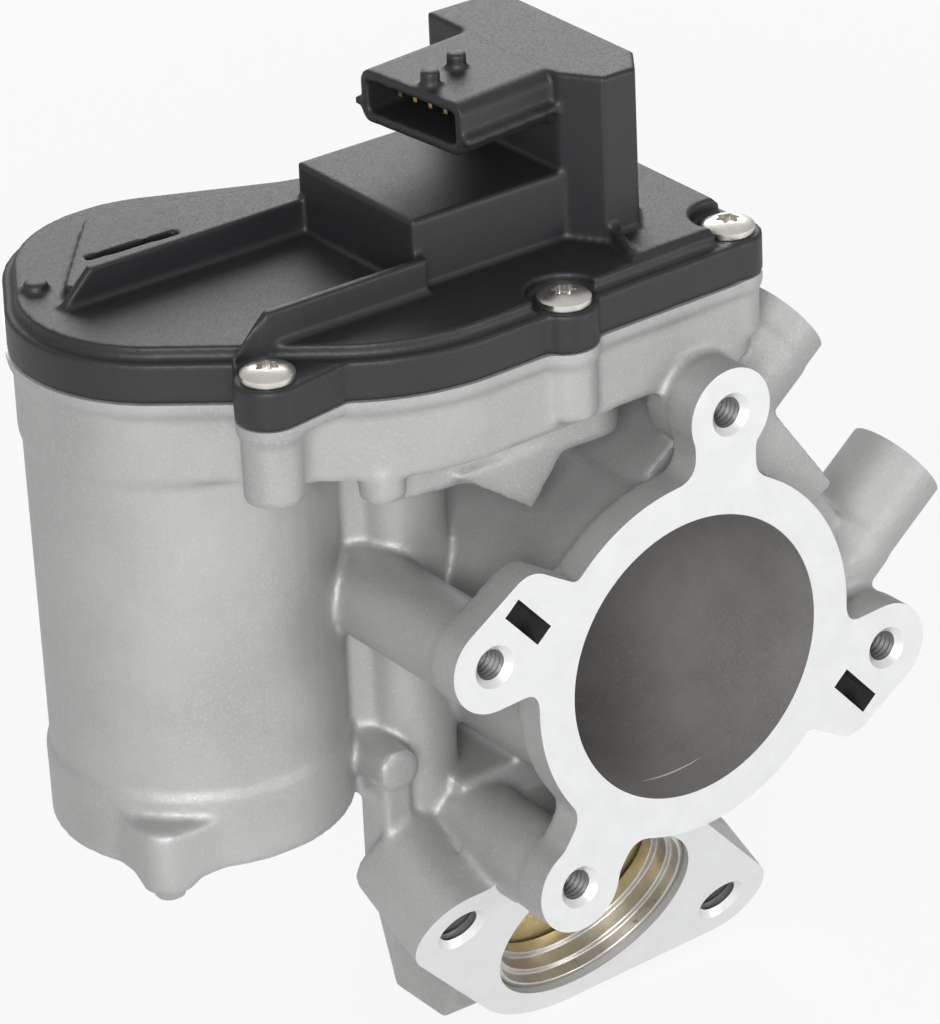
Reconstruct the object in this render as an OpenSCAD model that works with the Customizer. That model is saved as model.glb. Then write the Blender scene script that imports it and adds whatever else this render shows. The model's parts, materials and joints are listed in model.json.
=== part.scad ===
// Exhaust gas recirculation valve with a swing flap, a gear train and an electric motor.
// Origin: axis of the main air bore in the front flange face. The face looks along -Y,
// +Z is up along the motor axis and +X points to the coolant stubs.

/* [Main air tube and front flange] */
// Diameter of the main air bore
bore_d = 46.9; // [40:0.1:48]
// Wall of the main air tube
tube_wall = 4; // [3:0.5:5]
// Length from the front face to the rear flange face
tube_len = 86; // [84:1:100]
// Radial width of the machined ring round the bore
ring_w = 6.6; // [5:0.1:8]
// Thickness of the front flange
flange_t = 6; // [5:0.5:9]
// Pitch circle diameter of the four flange threads
flange_pcd = 79.5; // [76:0.5:82]
// Tapped hole diameter of the flange threads
flange_hole_d = 5; // [4.2:0.1:5.5]
// Depth of the flange threads
flange_hole_depth = 15; // [10:1:16]
// Diameter of the spigot at the rear flange
spigot_d = 52; // [50:0.5:53]

/* [Gas inlet] */
// Angle by which the inlet face looks down from level
inlet_pitch = 25.35; // [20:0.05:30]
// Diameter of the inlet hole that takes the sleeve
inlet_d = 36.54; // [32:0.02:38]
// Distance between the two inlet threads
inlet_span = 64; // [62:0.5:68]
// Depth from the inlet face to the gas chamber
inlet_depth = 8.2; // [8:0.1:9.5]
// Bore of the sleeve at the seat
seat_d = 30; // [26:0.5:31]
// Diameter of the flap disc
disc_d = 35.2; // [32:0.1:35.6]
// Thickness of the flap disc
disc_t = 2; // [1.5:0.1:2.5]

/* [Flap shaft] */
// Diameter of the flap shaft
shaft_d = 7; // [6:0.5:7.5]
// Outer diameter of the shaft bushes
bush_d = 10.4; // [10:0.1:11.5]
// Length of a shaft bush
bush_len = 10; // [8:1:11]

/* [Motor pot and gear tray] */
// Bore of the motor pot
pot_bore_d = 41.2; // [40:0.2:42]
// Wall of the motor pot at its foot
pot_wall = 2.6; // [2.4:0.1:3.2]
// Underside of the pot below the bore axis
pot_drop = 24.4; // [22:0.2:26]
// Height of the tray's underside above the bore axis
tray_z = 42; // [41:0.5:44]
// Height of the joint between tray and cover
split_z = 55.5; // [55:0.5:58]
// Wall of the tray
tray_wall = 3; // [2.5:0.1:3.5]
// Thread size of the cover screws
cover_screw_d = 4; // [3:0.5:4]

/* [Cover] */
// Height of the cover's floor above the joint
cover_floor_h = 8.5; // [8:0.5:10]
// Height of the raised box above the cover's floor
box_h = 11; // [9:0.5:13]
// Top of the connector tower above the joint
tower_h = 35.5; // [33:0.5:40]
// Wall of the plastic cover
cover_wall = 2.4; // [2:0.1:3]
// Width of the connector shell
shell_w = 23; // [20:0.5:26]
// Height of the connector shell
shell_h = 8.6; // [8:0.1:10]

/* [Gear train] */
// Module of the first gear stage
stage1_m = 0.6; // [0.5:0.05:0.6]
// Teeth of the motor pinion
pinion_n = 14; // [13:1:15]
// Teeth of the large idler wheel
idler_big_n = 40; // [38:1:42]
// Module of the second gear stage
stage2_m = 0.8; // [0.75:0.05:0.8]
// Teeth of the small idler wheel
idler_small_n = 12; // [12:1:13]
// Teeth that the sector gear would have as a full wheel
sector_n = 65; // [63:1:66]
// Face width of the gears
gear_w = 4; // [3:0.5:4.2]

/* [Coolant stubs] */
// Outer diameter of a coolant stub
stub_d = 16.4; // [14:0.2:17]
// Bore of a coolant stub
stub_bore_d = 11; // [9:0.5:12]
// Angle of the stubs above level
stub_pitch = 35.5; // [30:0.5:40]
// Reach of the stub rims from the bore axis
stub_reach = 50.3; // [47:0.1:55]

/* [Hidden] */

$fn = 64;
eps = 0.5;            // overrun of cuts
rest_gap = 0.05;      // gap between fitted pieces that stay at rest
run_gap = 0.03;       // radial gap of a running fit
part_gap = 0.3;       // gap between pieces on different bodies
nick = 0.03;          // how far a straight edge enters the round that it meets

cast_color = "silver";
plastic_color = "#26282a";
steel_color = "lightsteelblue";
stainless_color = "gainsboro";
gold_color = "#c9a13a";
copper_color = "#b87333";

// Main tube
bore_r = bore_d / 2;
tube_r = bore_r + tube_wall;
ring_r = bore_r + ring_w;
flange_angles = [78.5, 163, 233.5, 343];
lug_r = 7.6;
boss_ends = [12, 36, 31, 11];       // how far each lug's boss runs back
slot_xz = [31.5, 17];
slot_size = [8.7, 3.5];
slot_turn = 48.3;
slot_depth = 5;
fillet_r = 3.5;        // fillet between the ring and the neck of a lug
fillet_small_r = 3.3;  // fillet between the ring and a slotted lug
rear_ear_angles = [90, 210, 330];
rear_ear_r = 38;
rear_hole_r = 3.3;
rear_flange_t = 8;
spigot_len = 7;
ring_cord_r = 1.2;

// Motor pot, gear axes and tray
motor_xy = [-59, 50.5];
shaft_xy = [-29.5, 36];
pot_bore_r = pot_bore_d / 2;
pot_r = pot_bore_r + pot_wall;
pot_flare = 0.6;
pot_floor = 3.5;
pot_z = -pot_drop;
pot_in_z = pot_z + pot_floor;
foot_band_h = 12.4;
foot_step = 0.6;
foot_xy = [-77.2, 33.2];             // small foot beside the pot
foot_r = 4.3;
web_half = 4;                        // half the web between pot and shaft column
tray_floor = 3;
floor_z = tray_z + tray_floor;
rim_h = 2;
rim_out = 0.9;
bulge_xy = [-32.5, 40];
pad_h = 7.5;                         // thick pad under the tray
pad_ends = [[-38, 22, 7], [-7, 20, 7]];
tray_boss_xy = [-47, 14];
tray_corners = [[motor_xy.x, motor_xy.y, 24.3], [bulge_xy.x, bulge_xy.y, 33], [14.5, 16.5, 8],
                [14.5, 50, 8], [-10, 52, 12], [-54, 59.5, 24]];
cover_screw_xy = [[-64.5, 16.5], [-16, 9], [18.5, 13.2], [18.8, 54.8], [-14, 66.5]];
column_drop = [13.1, 11.6, 10.2, 10.2, 11.6];
screw_web = [-56, 26];               // where the web of the first screw column meets the wall
screw_flank = [-50, 18.8];           // where the flank of the first screw boss meets the wall
column_r = 4.6;
cover_boss_r = 5.2;
cover_boss_h = 6.5;
screw_tap_r = cover_screw_d * 0.42;

// Gear geometry
pressure = 20;
pinion_r = stage1_m * pinion_n / 2;
idler_big_r = stage1_m * idler_big_n / 2;
idler_small_r = stage2_m * idler_small_n / 2;
sector_r = stage2_m * sector_n / 2;
centre_1 = pinion_r + idler_big_r;
centre_2 = sector_r + idler_small_r;
shaft_to_motor = motor_xy - shaft_xy;
axes_gap = norm(shaft_to_motor);
angle_sm = atan2(shaft_to_motor.y, shaft_to_motor.x);
corner_s = acos((axes_gap * axes_gap + centre_2 * centre_2 - centre_1 * centre_1)
                / (2 * axes_gap * centre_2));
angle_si = angle_sm - corner_s;
idler_xy = shaft_xy + centre_2 * [cos(angle_si), sin(angle_si)];
angle_im = atan2(motor_xy.y - idler_xy.y, motor_xy.x - idler_xy.x);
plate_t = 2;
plate_z = floor_z;
stage1_z = plate_z + plate_t + 0.6;
stage2_z = stage1_z + gear_w + 1;
stage2_top = stage2_z + gear_w + 0.8;
big_addendum = 0.7;
small_addendum = 1;
dedendum = 1.15;
backlash = 0.07;

// Flap and gas chamber
inlet_c = [-5, 21.87, -53.96];
inlet_r = inlet_d / 2;
inlet_ear_turn = -22.2;
inlet_ear_r = 8.7;
inlet_ring_r = 23.2;
seat_end = inlet_depth + 0.1;
disc_l = seat_end + part_gap;
disc_r = disc_d / 2;
rivet_r = 2;
arm_gap = 0.02;
arm_t = 3;
arm_w = 5.8;
arm_pad = 0.25;       // how far the arm's pad stands proud on each side
chamber_top = -33;
chamber_bottom = -67;
chamber_back = 68;
chamber_wall = 3.5;
face_back = 4;          // depth of the chamber block behind the inlet face
shelf_y = 26;           // where the block steps back above the chamber
back_wall = 6;
open_angle = 50;
shaft_r = shaft_d / 2;
bush_r = bush_d / 2;
hub_r = 5.4;
hub_z = [-41.2, -34.4];
pocket_r = 5.9;
knob = [-38.4, 25.5, -17];           // axis and front end of the round knob by the column
pocket_bottom = -44.9;
column_out_r = 7.5;
bush_low_z = -31.5;
bush_up_z = 27;
seal_h = 5;
port_r = 11;
port_xy = [-2, 50];
rear_win = [[-2, -63], [13, -37]];
rear_margin = 7;
rear_plate_t = 3;
gasket_t = 0.8;
rear_screw_in = 3.3;
rear_tap_r = 1.65;

// Motor
case_r = pot_bore_r - part_gap;
case_wall = 1.5;
case_bottom = pot_in_z + 1.15;
case_top = floor_z - 5.5;
motor_shaft_r = 2.5;
bearing_r = 5;
armature_r = 14.8;
armature_z = [-8, 22];
slot_n = 8;
magnet_in_r = armature_r + 0.8;
magnet_out_r = case_r - case_wall - rest_gap;
comm_r = 5.5;
comm_z = [29, 38];
brush_z = [30, 37];
plate_screw_polar = [[25, -72], [25, 3], [23.5, 100]];
plate_screw_r = 1.5;
idler_pin_r = 2.5;

// Cover
lip_z = split_z + cover_floor_h;
skirt_h = 5;
skirt_out = 0.6;
lip_in = 1.2;
seat_z = split_z + cover_boss_h;
wall_top = lip_z + 5.5;
box_top = lip_z + box_h;
box_x = [-32.7, 4];
box_y = [23.6, 53.6];
rib_t = 1.6;
back_wall_x = -71.5;
front_wall_x = -60.6;
front_wall_y = 21.3;
wall_slope = 6;
plateau = [[-74, 56], [-58.5, 74.5], [-52, 74.5], [-42.8, 71.4], [-29.7, 65.9], [-28.7, 55],
           [-28.7, 53], [-72, 53]];
dome_xy = [-75.6, 61.5];
plateau_slot = [-66, 61.5];
tower_x = [-5, 9];
tower_y = [17.8, 57];
tower_nose_x = [-0.8, 5.2];     // flat front between the slanted corners
tower_top = split_z + tower_h;
shell_turn = 6;
shell_len = 19;
shell_root = [-5.5, 36.6];
shell_wall = 1.7;
pin_count = 5;
pin_pitch = 3.4;
bush_out_r = cover_screw_d / 2 + 0.9;
seal_in = 0.8;
seal_w = 1.4;
seal_h_cover = 1.5;
seal_turn_r = bush_out_r + 0.7;
seal_pad_r = seal_turn_r + seal_w + 0.8;

// Coolant side
stub_r = stub_d / 2;
stub_lean = 4;
stub_y = 18;
stub_t = [15.7, -24.6];
channel_n = 31.5;
channel_r = 3.3;
block_n = 37.3;
low_block_n = 35.7;
root_block_n = 31;      // block under the root of the lower stub
stub_free_n = [45.5, 36.4];  // where each stub is clear all round
collar = 0.25;          // how much thicker a stub is up to there

function inv_angle(a) = tan(a) * 180 / PI - a;

// Half the angle of a tooth at radius r
function tooth_half(n, rp, r) = 90 / n - backlash / rp * 90 / PI + inv_angle(pressure)
    - (r > rp * cos(pressure) ? inv_angle(acos(rp * cos(pressure) / r)) : 0);

function polar(r, a) = [r * cos(a), r * sin(a)];

// Points of one tooth centred on angle a, from root to root
function tooth(n, rp, r_root, r_tip, a) =
    let (radii = [r_root, max(r_root, rp * cos(pressure)) + 0.1, rp, (rp + r_tip) / 2, r_tip])
    concat([for (i = [0:4]) polar(radii[i], a - tooth_half(n, rp, max(radii[i], r_root)))],
           [for (i = [4:-1:0]) polar(radii[i], a + tooth_half(n, rp, max(radii[i], r_root)))]);

module gear_plan(n, m, addendum, turn) {
    rp = n * m / 2;
    polygon([for (k = [0:n - 1]) each tooth(n, rp, rp - dedendum * m, rp + addendum * m,
                                            turn + k * 360 / n)]);
}

// Quadrilateral between the outer tangents of two circles, given as [x, y, r]
module link(a, b, grow = 0) {
    d = [b.x - a.x, b.y - a.y];
    len = norm(d);
    dir = atan2(d.y, d.x);
    lean = acos((a[2] - b[2]) / len);
    ra = a[2] + grow - nick;
    rb = b[2] + grow - nick;
    polygon([[a.x, a.y] + polar(ra, dir + lean), [a.x, a.y] + polar(ra, dir - lean),
             [b.x, b.y] + polar(rb, dir - lean), [b.x, b.y] + polar(rb, dir + lean)]);
}

// Outline through circles at the corners, grown outward by grow
module round_plan(corners, grow = 0) {
    polygon([for (c = corners) [c.x, c.y]]);
    for (i = [0:len(corners) - 1]) {
        translate([corners[i].x, corners[i].y]) circle(corners[i][2] + grow);
        link(corners[i], corners[(i + 1) % len(corners)], grow);
    }
}

module tray_plan(grow = 0) {
    round_plan(tray_corners, grow);
}

// Plan of the tray with the screw bosses, each tied to the wall behind it
module bossed_plan(grow, boss_r) {
    tray_plan(grow);
    for (s = cover_screw_xy) translate(s) circle(boss_r);
    first = concat(cover_screw_xy[0], boss_r);
    link(first, concat(screw_web, boss_r));
    link(first, concat(screw_flank, boss_r));
}

// Puts a plan in the XZ plane and runs it back along +Y from y0
module along_y(y0, len) {
    translate([0, y0 + len, 0]) rotate([90, 0, 0]) linear_extrude(len) children();
}

module y_cylinder(x, z, y0, len, r) {
    translate([x, y0, z]) rotate([-90, 0, 0]) cylinder(h = len, r = r);
}

// Frame of the inlet: X along the two threads, Y up in the face, Z out of the face
module inlet_frame() {
    translate(inlet_c) rotate([90 + inlet_pitch, 0, 0]) children();
}

// Y of the plane that lies l behind the inlet face, at height z
function plane_y(l, z) =
    let (t = (z - inlet_c.z - l * sin(inlet_pitch)) / cos(inlet_pitch))
    inlet_c.y + l * cos(inlet_pitch) - t * sin(inlet_pitch);

// Frame of the coolant side: X away from the bore, Z up along the block
module coolant_frame() {
    rotate([0, -stub_pitch, 0]) children();
}

module ring(r_out, r_in, h) {
    difference() {
        cylinder(h = h, r = r_out);
        translate([0, 0, -eps]) cylinder(h = h + 2 * eps, r = r_in);
    }
}

function flange_hole(i) = polar(flange_pcd / 2, flange_angles[i]);

function thread_depth(i) = min(flange_hole_depth, boss_ends[i] - 2);

// Plan of the front flange in X and Z, seen from the front
module flange_plan() {
    circle(ring_r);
    for (i = [0:3]) translate(flange_hole(i)) circle(lug_r);
    neck([6.8, 20], [6.8, 36], 5.8);
    neck([-14, -18], flange_hole(2), 6.4);
    for (turn = [0, 180]) rotate(turn) slot_lug();
}

// Straight neck from the ring out to a lug, with a fillet on each side at the ring
module neck(from, to, half) {
    dir = (to - from) / norm(to - from);
    side = [-dir.y, dir.x];
    offset = from * side;
    link(concat(to, half), concat(from, half));
    for (s = [1, -1]) {
        across = offset + s * (half + fillet_r);
        centre = sqrt(pow(ring_r + fillet_r, 2) - across * across) * dir + across * side;
        fillet(centre, fillet_r, centre - (s * (fillet_r + 3)) * side);
    }
}

// Fillet between the ring and a lug circle, on the side given by the sign of s
module lug_fillet(c, r, s) {
    reach = ring_r + fillet_small_r;
    turn = acos((reach * reach + c * c - pow(r + fillet_small_r, 2)) / (2 * reach * norm(c)));
    fillet(polar(reach, atan2(c.y, c.x) + s * turn), fillet_small_r, c);
}

// Corner between the ring, a round at centre and a point inside the lug
module fillet(centre, r, inner) {
    difference() {
        polygon([[0, 0], centre, inner]);
        translate(centre) circle(r + nick);
    }
}

// Lug with a slot, drawn for the upper left side
module slot_lug() {
    corners = [[-flange_hole(3).x, -flange_hole(3).y, lug_r], [-30.6, 20.2, 4.5], [-21, 15, 4],
               [-24, 8, 3]];
    round_plan(corners);
    lug_fillet(-flange_hole(3), lug_r, 1);
    lug_fillet([-30.6, 20.2], 4.5, -1);
}

module flange_slots() {
    for (s = [1, -1])
        translate([-s * slot_xz.x, -eps, s * slot_xz.y]) rotate([0, slot_turn, 0])
            translate([-slot_size.x / 2, 0, -slot_size.y / 2])
                cube([slot_size.x, slot_depth + eps, slot_size.y]);
}

module housing_tube() {
    y_cylinder(0, 0, 0, tube_len, tube_r);
    along_y(0, flange_t) flange_plan();
    for (i = [0:3]) y_cylinder(flange_hole(i).x, flange_hole(i).y, 0, boss_ends[i], lug_r - 0.3);
    y_cylinder(0, 0, tube_len - rear_flange_t, rear_flange_t, ring_r);
    along_y(tube_len - rear_flange_t, rear_flange_t)
        for (a = rear_ear_angles) {
            translate(polar(rear_ear_r, a)) circle(lug_r - 0.6);
            link([0, 0, 14], [polar(rear_ear_r, a).x, polar(rear_ear_r, a).y, lug_r - 0.6]);
        }
    y_cylinder(0, 0, tube_len - eps, spigot_len + eps, spigot_d / 2);
}

module housing_pot() {
    translate([motor_xy.x, motor_xy.y, pot_z])
        cylinder(h = floor_z - pot_z, r1 = pot_r, r2 = pot_r + pot_flare);
    translate([motor_xy.x, motor_xy.y, pot_z])
        cylinder(h = foot_band_h, r1 = pot_r + foot_step, r2 = pot_r + foot_step + 0.15);
    translate(concat(foot_xy, pot_z - 1.2)) cylinder(h = foot_band_h - 1.8, r = foot_r);
    translate(concat(foot_xy, pot_z - 3.4)) cylinder(h = 4, r = 2.6);
    translate([0, 0, pot_z]) linear_extrude(foot_band_h - 3.3)
        link(concat(motor_xy, pot_r - 2), concat(foot_xy, foot_r));
    translate([0, 0, pot_z]) linear_extrude(tray_z - pot_z + 1)
        link(concat(shaft_xy, web_half + 1), [-48, 45, web_half]);
}

module housing_tray() {
    translate([0, 0, tray_z]) linear_extrude(split_z - tray_z) tray_plan();
    translate([0, 0, split_z - rim_h]) linear_extrude(rim_h) bossed_plan(rim_out, column_r + 0.6);
    for (i = [0:len(cover_screw_xy) - 1])
        translate([cover_screw_xy[i].x, cover_screw_xy[i].y, split_z - column_drop[i]])
            cylinder(h = column_drop[i], r = column_r);
    translate([0, 0, split_z - column_drop[0] + 3]) linear_extrude(column_drop[0] - 3)
        link(concat(cover_screw_xy[0], 3), concat(screw_web, 3));
    translate([0, 0, tray_z - pad_h]) linear_extrude(pad_h + 0.1) {
        link(pad_ends[0], pad_ends[1]);
        for (c = pad_ends) translate([c.x, c.y]) circle(c[2]);
    }
    translate(concat(tray_boss_xy, tray_z - 4)) cylinder(h = 5, r = 3.6);
    along_y(13.5, 4) polygon([[-34, tray_z - 5], [-12, tray_z - 5], [-20, tray_z - 15]]);
    for (p = plate_screw_polar) translate(concat(motor_xy + polar(p[0], p[1]), tray_z - 4))
        cylinder(h = 5, r = 3.4);
}

module housing_chamber() {
    intersection() {
        translate([0, 0, chamber_bottom - chamber_wall])
            linear_extrude(chamber_top - chamber_bottom + 13)
                polygon([[14.4 + chamber_wall, 0], [14.4 + chamber_wall, chamber_back + back_wall],
                         [-12.5, chamber_back + back_wall], [-27, 47], [-27, 0]]);
        rotate([90, 0, 90]) translate([0, 0, -60]) linear_extrude(100)
            polygon([[shelf_y, chamber_top + 10], [chamber_back + back_wall, chamber_top + 10],
                     [chamber_back + back_wall, chamber_bottom - chamber_wall],
                     [plane_y(face_back, chamber_bottom - chamber_wall), chamber_bottom - chamber_wall],
                     [plane_y(face_back, chamber_top + chamber_wall), chamber_top + chamber_wall],
                     [shelf_y, chamber_top + chamber_wall]]);
    }
    inlet_frame() translate([0, 0, -inlet_depth]) linear_extrude(inlet_depth) inlet_plan();
    inlet_frame() translate([-inlet_hole().x, -inlet_hole().y, -17.5])
        cylinder(h = 17.5, r = inlet_ear_r);
    inlet_frame() translate([inlet_hole().x, inlet_hole().y, -12])
        cylinder(h = 12, r = inlet_ear_r);
    translate([shaft_xy.x, shaft_xy.y, pocket_bottom - 1.6])
        cylinder(h = floor_z - pocket_bottom + 1.6, r = column_out_r);
    box_block([knob[0] - 1.2, knob[0] + 3.8], [knob[1] + 3, shaft_xy.y], [chamber_top - 9, knob[2] - 1]);
    y_cylinder(knob[0], knob[2], knob[1], 12, 3.7);
}

function inlet_hole() = polar(inlet_span / 2, inlet_ear_turn);

module inlet_plan() {
    circle(inlet_ring_r);
    for (s = [1, -1]) {
        translate(s * inlet_hole()) circle(inlet_ear_r);
        link([0, 0, inlet_ring_r], [s * inlet_hole().x, s * inlet_hole().y, inlet_ear_r]);
    }
}

module coolant_stub(t, r, from_n, to_n) {
    coolant_frame() translate([from_n, 0, t]) translate([stub_reach - from_n, stub_y, 0])
        rotate([0, 0, stub_lean]) translate([from_n - stub_reach, 0, 0])
            rotate([0, 90, 0]) cylinder(h = to_n - from_n, r = r);
}

module housing_coolant() {
    coolant_frame() {
        box_block([10, block_n], [9, 27], [-8, 24]);
        box_block([8, low_block_n], [12, 26], [-24, -7]);
        box_block([8, root_block_n], [12, 26], [-30, -20]);
    }
    for (i = [0, 1]) {
        coolant_stub(stub_t[i], stub_r + collar, 24, stub_free_n[i]);
        coolant_stub(stub_t[i], stub_r, stub_free_n[i] - 1, stub_reach);
    }
}

module housing_cuts() {
    y_cylinder(0, 0, -eps, tube_len + spigot_len + 2 * eps, bore_r);
    for (i = [0:3]) {
        y_cylinder(flange_hole(i).x, flange_hole(i).y, -eps, thread_depth(i) + eps, flange_hole_d / 2);
        translate([flange_hole(i).x, -eps, flange_hole(i).y]) rotate([-90, 0, 0])
            cylinder(h = 1.1 + eps, r1 = 3.55 + eps, r2 = flange_hole_d / 2);
    }
    flange_slots();
    for (a = rear_ear_angles)
        y_cylinder(polar(rear_ear_r, a).x, polar(rear_ear_r, a).y, tube_len - rear_flange_t - eps,
                   rear_flange_t + 2 * eps, rear_hole_r);
    translate([0, tube_len + 2.5, 0]) rotate([-90, 0, 0])
        ring(spigot_d / 2 + 1, spigot_d / 2 - ring_cord_r * 1.5, 2.8);
    translate([motor_xy.x, motor_xy.y, pot_in_z]) cylinder(h = floor_z - pot_in_z + eps, r = pot_bore_r);
    translate([0, 0, floor_z]) linear_extrude(split_z - floor_z + eps) difference() {
        tray_plan(-tray_wall);
        for (s = cover_screw_xy) translate(s) circle(seal_pad_r);
    }
    for (i = [0:len(cover_screw_xy) - 1])
        translate([cover_screw_xy[i].x, cover_screw_xy[i].y, split_z - column_drop[i] + 2.5])
            cylinder(h = column_drop[i], r = screw_tap_r);
    for (p = plate_screw_polar) translate(concat(motor_xy + polar(p[0], p[1]), tray_z - 3))
        cylinder(h = 10, r = plate_screw_r * 0.85);
    chamber_cut();
    inlet_frame() translate([0, 0, -inlet_depth - 1]) cylinder(h = inlet_depth + 1 + eps, r = inlet_r);
    for (s = [1, -1]) inlet_frame() translate([s * inlet_hole().x, s * inlet_hole().y, 0]) {
        translate([0, 0, -11]) cylinder(h = 11 + eps, r = flange_hole_d / 2 + 0.9);
        translate([0, 0, -1.1]) cylinder(h = 1.1 + eps, r1 = flange_hole_d / 2 + 0.9, r2 = 4.5 + eps);
    }
    translate([port_xy.x, port_xy.y, chamber_top - 1]) cylinder(h = -chamber_top + 1, r = port_r);
    translate([shaft_xy.x, shaft_xy.y, chamber_top - 1])
        cylinder(h = floor_z - chamber_top + 1 + eps, r = shaft_r + 0.6);
    translate([shaft_xy.x, shaft_xy.y, chamber_top - 1]) cylinder(h = bush_low_z + bush_len - chamber_top + 1,
                                                                 r = bush_r);
    translate([shaft_xy.x, shaft_xy.y, bush_up_z]) cylinder(h = floor_z - bush_up_z + eps, r = bush_r);
    for (x = stop_xy()) translate([x.x, x.y, floor_z - 2.5]) cylinder(h = 10, r = stop_r);
    for (t = stub_t) coolant_stub(t, stub_bore_d / 2, channel_n - 1, stub_reach + 1);
    coolant_frame() translate([channel_n, stub_y - 0.5, stub_t[1]])
        cylinder(h = 24 + eps - stub_t[1], r = channel_r);
}

module chamber_cut() {
    intersection() {
        translate([0, 0, chamber_bottom]) linear_extrude(chamber_top - chamber_bottom)
            polygon([[14.4, 0], [14.4, chamber_back], [-9, chamber_back], [-24.3, 46], [-24.3, 0]]);
        rotate([90, 0, 90]) translate([0, 0, -60]) linear_extrude(100)
            polygon([[plane_y(inlet_depth, -20), -20], [chamber_back + 10, -20],
                     [chamber_back + 10, -75], [plane_y(inlet_depth, -75), -75]]);
    }
    translate([shaft_xy.x, shaft_xy.y, pocket_bottom]) cylinder(h = chamber_top - pocket_bottom,
                                                              r = pocket_r);
    translate([0, 0, pocket_bottom]) linear_extrude(chamber_top - pocket_bottom)
        polygon([[shaft_xy.x, shaft_xy.y - pocket_r], [-20, shaft_xy.y - pocket_r], [-20, 48],
                 [-25.3, 46], [-33.3, 40.4]]);
    along_y(chamber_back - 1, back_wall + 1 + eps)
        polygon([rear_win[0], [rear_win[1].x, rear_win[0].y], rear_win[1],
                 [rear_win[0].x, rear_win[1].y]]);
    for (s = rear_screws()) y_cylinder(s.x, s.y, chamber_back + 1, back_wall, rear_tap_r);
}

function rear_screws() =
    [for (x = [rear_win[0].x - rear_screw_in, rear_win[1].x + rear_screw_in])
         for (z = [rear_win[0].y - rear_screw_in, rear_win[1].y + rear_screw_in]) [x, z]];

// Places in the tray floor: the open stop and the post that holds the spring's end
stop_r = 2;
stop_reach = 13.2;
post_reach = 15.6;
post_angle = -28;
sector_lead = 2.5 * 360 / sector_n;
stop_angle = angle_si + sector_lead + open_angle + 1.5 + asin(stop_r / stop_reach);
function stop_xy() = [shaft_xy + polar(stop_reach, stop_angle),
                      shaft_xy + polar(post_reach, post_angle)];

module main_housing() {
    color(cast_color) difference() {
        union() {
            housing_tube();
            housing_pot();
            housing_tray();
            housing_chamber();
            housing_coolant();
        }
        housing_cuts();
    }
}

module seat_sleeve() {
    color(stainless_color) inlet_frame() difference() {
        translate([0, 0, -seat_end]) cylinder(h = seat_end - 1.2, r = inlet_r - rest_gap);
        translate([0, 0, -seat_end - eps]) cylinder(h = 12, r = seat_d / 2);
        translate([0, 0, -seat_end + 2.4]) cylinder(h = 12, r = seat_d / 2 + 1.2);
        translate([0, 0, -seat_end + 5]) cylinder(h = 12, r = seat_d / 2 + 2.2);
    }
}

// Frame of the flap disc: Z points back from the inlet, origin on the disc's front face
module disc_frame() {
    inlet_frame() translate([0, 0, -disc_l]) mirror([0, 0, 1]) children();
}

module flap_disc() {
    color(gold_color) disc_frame() difference() {
        union() {
            cylinder(h = disc_t, r = disc_r);
            translate([0, 0, -1]) cylinder(h = 1 + disc_t / 2, r = 9);
        }
        translate([0, 0, -2]) cylinder(h = disc_t + 4, r = rivet_r + arm_gap);
    }
}

module flap_rivet() {
    color(stainless_color) disc_frame() {
        translate([0, 0, -1.6 - arm_gap - 1]) cylinder(h = 1.6, r = 3.6);
        translate([0, 0, -2]) cylinder(h = disc_t + arm_t + 2.5, r = rivet_r);
        translate([0, 0, disc_t + arm_t + 2 * arm_gap]) cylinder(h = 1.4, r = 3.4);
    }
}

// Middle of the hub in the frame of the flap disc
hub_off = [shaft_xy.x, shaft_xy.y, (hub_z[0] + hub_z[1]) / 2] - inlet_c;
hub_in_disc = [hub_off.x, hub_off.z * cos(inlet_pitch) - hub_off.y * sin(inlet_pitch),
               hub_off.y * cos(inlet_pitch) + hub_off.z * sin(inlet_pitch) - disc_l];

// Bent strip from the disc's back to the hub
module arm_strip() {
    low = disc_t + arm_gap;
    reach = norm([hub_in_disc.x, hub_in_disc.y]);
    disc_frame() rotate([90, 0, atan2(hub_in_disc.y, hub_in_disc.x)]) translate([0, 0, -arm_w / 2])
        linear_extrude(arm_w)
            polygon([[-3, low + arm_pad], [7.5, low + arm_pad], [reach - 2, hub_in_disc.z - 2.2],
                     [reach - 2, hub_in_disc.z + 2], [6.5, low + arm_t - arm_pad],
                     [-3, low + arm_t - arm_pad]]);
}

module flap_arm() {
    color(stainless_color) difference() {
        union() {
            arm_strip();
            disc_frame() translate([0, 0, disc_t + arm_gap]) cylinder(h = arm_t, r = 4.8);
            translate([shaft_xy.x, shaft_xy.y, hub_z[0]]) cylinder(h = hub_z[1] - hub_z[0], r = hub_r);
        }
        translate([shaft_xy.x, shaft_xy.y, hub_z[0] - eps]) cylinder(h = 20, r = shaft_r + arm_gap);
        disc_frame() cylinder(h = disc_t + arm_t + 1, r = rivet_r + arm_gap);
    }
}

module valve_shaft() {
    color(stainless_color) translate([shaft_xy.x, shaft_xy.y, hub_z[0]])
        cylinder(h = stage2_top - hub_z[0], r = shaft_r);
}

module shaft_bush(z) {
    translate([shaft_xy.x, shaft_xy.y, z])
        ring(bush_r - 0.01, shaft_r + run_gap, bush_len);
}

module shaft_bush_lower() {
    color("#a07a4a") shaft_bush(bush_low_z);
}

module shaft_bush_upper() {
    color("#a07a4a") shaft_bush(bush_up_z);
}

module shaft_seal() {
    color("#3a2a22") translate([shaft_xy.x, shaft_xy.y, bush_up_z + bush_len + 0.5])
        ring(bush_r - 0.01, shaft_r + run_gap, seal_h);
}

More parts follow.
